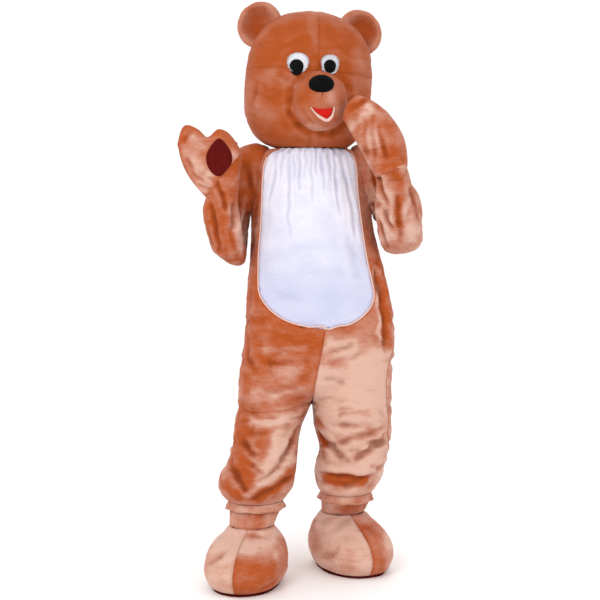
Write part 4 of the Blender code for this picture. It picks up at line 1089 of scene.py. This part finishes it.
for sideName, side in sides:
    for kind in ("top", "lower"):
        panel = {
            "finish": "head",
            "slot": "bear_plush",
            "body": "head",
            "seed": 101,
            "wall": 0.012,
            "flatEdge": kind == "lower",
            "fill": 0.95,
            "rumple": 0.0016,
            "seam": 0.0006,
            "reach": 0.0007,
            "napSheen": 0.04 if kind == "top" else 0.08,
            "sheenAndShade": (
                (-0.175, 0.16, -0.130, 0.06, 0.040, 0.12),
                (0.130, 0.29, 0.150, 0.20, 0.030, 0.14),
                (-0.090, 0.205, -0.055, 0.185, 0.012, 0.25),
                (0.000, 0.40, 0.010, 0.30, 0.016, 0.12),
            ),
            "creases": ((headLines, (0, 2), -1),),
            "fade": 0.02,
        }
        cloth("head_" + kind + "_" + sideName, panel)
    ear = {
        "finish": "head",
        "slot": "bear_plush",
        "body": "head",
        "seed": 111 + side,
        "levels": 3,
        "fill": 0.8,
        "rumple": 0.0010,
        "seam": 0,
        "napSheen": 0.42,
        "cup": 0.016,
        "sharp": 0.8,
        "broad": (0.04, 0.04, 0.04),
    }
    stuffed("ear_" + sideName, ear)
    eye = {
        "finish": "eye",
        "refit": (headNodes, pupilMiddle(sideName), eyeHeight["white"], True),
        "slot": "white_plush",
        "body": "head",
        "seed": 121,
        "levels": 2,
        "fill": 0.7,
        "rumple": 0.0004,
        "seam": 0,
        "napSheen": 0.6,
    }
    stuffed("eye_white_" + sideName, eye)
    pupil = {
        **eye,
        "finish": "black",
        "slot": "black_plush",
        "rumple": 0.0002,
        "refit": (headNodes, pupilMiddle(sideName), eyeHeight["pupil"], True),
    }
    stuffed("pupil_" + sideName, pupil)
muzzleLines = (
    (0.030, 0.172, 0.028, 0.146, 0.0035, -0.0014),
    (0.028, 0.146, 0.022, 0.128, 0.0035, -0.0010),
    (-0.035, 0.100, 0.000, 0.064, 0.006, -0.0012),
    (0.000, 0.064, 0.060, 0.058, 0.006, -0.0012),
)
muzzle = {
    "finish": "head",
    "slot": "bear_plush",
    "body": "head",
    "seed": 131,
    "levels": 3,
    "fill": 0.9,
    "rumple": 0.0009,
    "seam": 0,
    "napSheen": 0.20,
    "sheenAndShade": ((0.055, 0.150, 0.075, 0.110, 0.020, 0.30), (-0.040, 0.060, 0.060, 0.045, 0.010, 0.25)),
    "creases": ((muzzleLines, (0, 2), -1),),
}
stuffed("muzzle", muzzle)
nose = {
    **muzzle,
    "finish": "black",
    "slot": "black_plush",
    "levels": 2,
    "rumple": 0.0003,
    "sheenAndShade": (),
    "creases": (),
}
stuffed("nose", nose)
mouthFit = (["muzzle"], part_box("mouth")[1][2], 0.78, False)  # less tall, hung from its top
mouth = {
    "refit": mouthFit,
    "finish": "red",
    "slot": "red_felt",
    "body": "head",
    "seed": 141,
    "levels": 2,
    "cut": (0.062, 0.044, 0.0018),
    "held": "laid",
    "rumple": 0.0,
    "seam": 0,
    "napSheen": 0.3,
}
stuffed("mouth", mouth)
lip = {
    "refit": mouthFit,
    "finish": "pink",
    "slot": "pink_felt",
    "body": "head",
    "seed": 151,
    "levels": 2,
    "fill": 0.9,
    "rumple": 0.0,
    "seam": 0,
    "napSheen": 0.5,
    "swell": ((0.070, 0.0030), (0.082, 0.0020), (0.092, -0.0002), (0.105, -0.0013), (0.120, -0.0015)),
}
stuffed("lip", lip)
print("head made")


def rollAlong(name, route, radius, finish):  # a round roll on a smooth line
    curve = bpy.data.curves.new(name, "CURVE")
    curve.dimensions = "3D"
    curve.bevel_depth = radius
    curve.bevel_resolution = 2
    curve.use_fill_caps = True
    curve.resolution_u = 6
    spline = curve.splines.new("BEZIER")
    spline.bezier_points.add(len(route) - 1)
    for point, where in zip(spline.bezier_points, route):
        point.co = where
        point.handle_left_type = point.handle_right_type = "AUTO"
    made = bpy.data.objects.new(name, curve)
    bpy.context.scene.collection.objects.link(made)
    only(made)
    bpy.ops.object.convert(target="MESH")
    made = bpy.context.view_layer.objects.active
    made.data.materials.append(finishes[finish])
    made.data.shade_smooth()
    return made


piping = {"radius": 0.0026, "out": 0.0036, "forward": 1.2, "top": -0.022, "every": 3}
neckCut = piping["top"]  # it starts and ends below the neckline
first = next(i for i in range(len(bellyRim)) if bellyRim[i - 1][0].z > neckCut >= bellyRim[i][0].z)
below = [pair for pair in bellyRim[first:] + bellyRim[:first] if pair[0].z <= neckCut]
if below[0][0].x < below[-1][0].x:  # always from the wearer's left, down and up again
    below.reverse()
ahead = Vector((0, -piping["forward"], 0))
route = [p + (n + ahead).normalized() * piping["out"] for p, n in below[:: piping["every"]]]
bellyPiping = rollAlong("belly_piping", route, piping["radius"], "pink")
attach(bellyPiping, "suit")
print("piping made", len(route))

# single fibres round the eye whites, each a thin three-sided spike
fringe = {
    "count": 420,
    "length": 0.0065,
    "width": 0.0011,
    "seed": 5,
    "rim": 0.35,  # radians of the rim that a fibre looks at for its foot
    "inset": 0.002,
    "insetMore": 0.003,
    "proud": 0.003,
    "lean": 0.5,
    "forward": (0.15, 0.6),
    "shares": (0.6, 1.1),  # of the length
    # painted sheen on the fibres
    "napSheen": 0.7,
}
chance = np.random.default_rng(fringe["seed"])
for sideName, side in sides:
    source = nodes["eye_white_" + sideName].data
    spots = coordsOf(source)
    middle = spots.mean(axis=0)
    offset = spots - middle
    around = np.arctan2(offset[:, 2], offset[:, 0])
    mesh = bmesh.new()
    for k in range(fringe["count"]):
        angle = -math.pi + 2 * math.pi * (k + chance.uniform(0, 1)) / fringe["count"]
        near = np.abs(np.angle(np.exp(1j * (around - angle)))) < fringe["rim"]
        reach = np.hypot(offset[near, 0], offset[near, 2])
        if not len(reach):
            continue
        out = Vector((math.cos(angle), 0, math.sin(angle)))
        spot = offset[near][reach.argmax()]
        radius = reach.max() - fringe["inset"] - chance.uniform(0, fringe["insetMore"])
        foot = Vector(middle) + out * radius + Vector((0, spot[1] - fringe["proud"], 0))
        lean = chance.uniform(-fringe["lean"], fringe["lean"])
        forward = chance.uniform(*fringe["forward"])
        way = Vector((math.cos(angle + lean), -forward, math.sin(angle + lean))).normalized()
        tip = foot + way * fringe["length"] * chance.uniform(*fringe["shares"])
        across = way.cross(Vector((0, 1, 0))).normalized() * fringe["width"] / 2
        depth = Vector((0, -fringe["width"] / 2, 0))
        base = [mesh.verts.new(foot + v) for v in (across, -across, depth)]
        top = mesh.verts.new(tip)
        for a, b in ((0, 1), (1, 2), (2, 0)):
            mesh.faces.new((base[a], base[b], top))
        mesh.faces.new((base[2], base[1], base[0]))
    bmesh.ops.recalc_face_normals(mesh, faces=mesh.faces)
    fibres = newPiece("eye_fibres_" + sideName, mesh, "eye")
    layer = fibres.data.attributes.new("napSheen", "FLOAT", "POINT")
    values = np.full(len(fibres.data.vertices), fringe["napSheen"], np.float32)
    layer.data.foreach_set("value", values)
    refit(fibres, headNodes, pupilMiddle(sideName), eyeHeight["white"], True)
    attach(fibres, "head")
print("eye fibres made")

# teeth along the middle of the tape, left and right of it by turns
teeth = {"pitch": 0.0026, "size": (0.0026, 0.0012, 0.0012), "shift": 0.0008, "ends": 0.004}
levelsOf = {}
for point in coordsOf(nodes["zip_tape"].data) * (0, 1, 1):
    key = round(point[2], 3)
    if key not in levelsOf or point[1] > levelsOf[key][1]:
        levelsOf[key] = point
spine = np.array([levelsOf[key] for key in sorted(levelsOf, reverse=True)])
steps = np.linalg.norm(np.diff(spine, axis=0), axis=1)
along = np.concatenate(([0], np.cumsum(steps)))
mesh = bmesh.new()
for k, at in enumerate(np.arange(teeth["ends"], along[-1] - teeth["ends"], teeth["pitch"] / 2)):
    where = [np.interp(at, along, spine[:, i]) for i in range(3)]
    shift = teeth["shift"] * (1 if k % 2 else -1)
    made = bmesh.ops.create_cube(mesh, size=1)
    for vert in made["verts"]:
        local = Vector(vert.co[i] * teeth["size"][i] for i in range(3))
        vert.co = Vector(where) + local + Vector((shift, teeth["size"][1] / 2, 0))
teethPiece = newPiece("zip_teeth", mesh, "brass")
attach(teethPiece, "suit")
for node, finish in (("zip_tape", "bear"), ("zip_slider", "brass"), ("zip_pull", "brass")):
    data = nodes[node].data
    data.materials.clear()
    data.materials.append(finishes[finish])
print("zip made")

studio = {
    "floorSize": 14,
    "floorLevel": -1.3905,
    "floorColours": ((0.94, 0.94, 0.94), (0.96, 0.96, 0.96)),
    "air": (1.0, 1.0, 1.0, 1),
    "strength": 1.06,
}
bpy.ops.mesh.primitive_plane_add(size=studio["floorSize"], location=(0, 0, studio["floorLevel"]))
floor = bpy.context.active_object
floor.name = "studio_floor"
floor.data.materials.append(ground("floorPale", *studio["floorColours"]))

world = bpy.data.worlds.new("studio")
bpy.context.scene.world = world
world.use_nodes = True
background = world.node_tree.nodes["Background"]
background.inputs["Color"].default_value = studio["air"]
background.inputs["Strength"].default_value = studio["strength"]


def aimed(thing, look):
    thing.location = look["place"]
    way = Vector(look["aim"]) - Vector(look["place"])
    thing.rotation_euler = way.to_track_quat("-Z", "Y").to_euler()


lamps = {
    "key": {"place": (-1.6, -3.4, 1.5), "aim": (0, 0, -0.3), "size": 1.2, "power": 42},
    "fill": {"place": (2.4, -2.6, 0.4), "aim": (0, 0, -0.6), "size": 2.0, "power": 8},
    "back": {"place": (0.6, 3.0, 1.8), "aim": (0, 0, -0.3), "size": 2.0, "power": 25},
}
for name, lamp in lamps.items():
    light = bpy.data.lights.new(name, "AREA")
    light.size = lamp["size"]
    light.energy = lamp["power"]
    made = bpy.data.objects.new(name, light)
    bpy.context.scene.collection.objects.link(made)
    aimed(made, lamp)

view = {"place": (-0.04, -4.4, -0.175), "aim": (-0.04, 0.0, -0.507), "lens": 79.2, "sensor": 36}
camera = bpy.data.objects.new("camera", bpy.data.cameras.new("camera"))
bpy.context.scene.collection.objects.link(camera)
aimed(camera, view)
camera.data.lens = view["lens"]
camera.data.sensor_width = view["sensor"]
bpy.context.scene.camera = camera
bpy.context.scene.view_settings.view_transform = "Standard"
print("stage made")
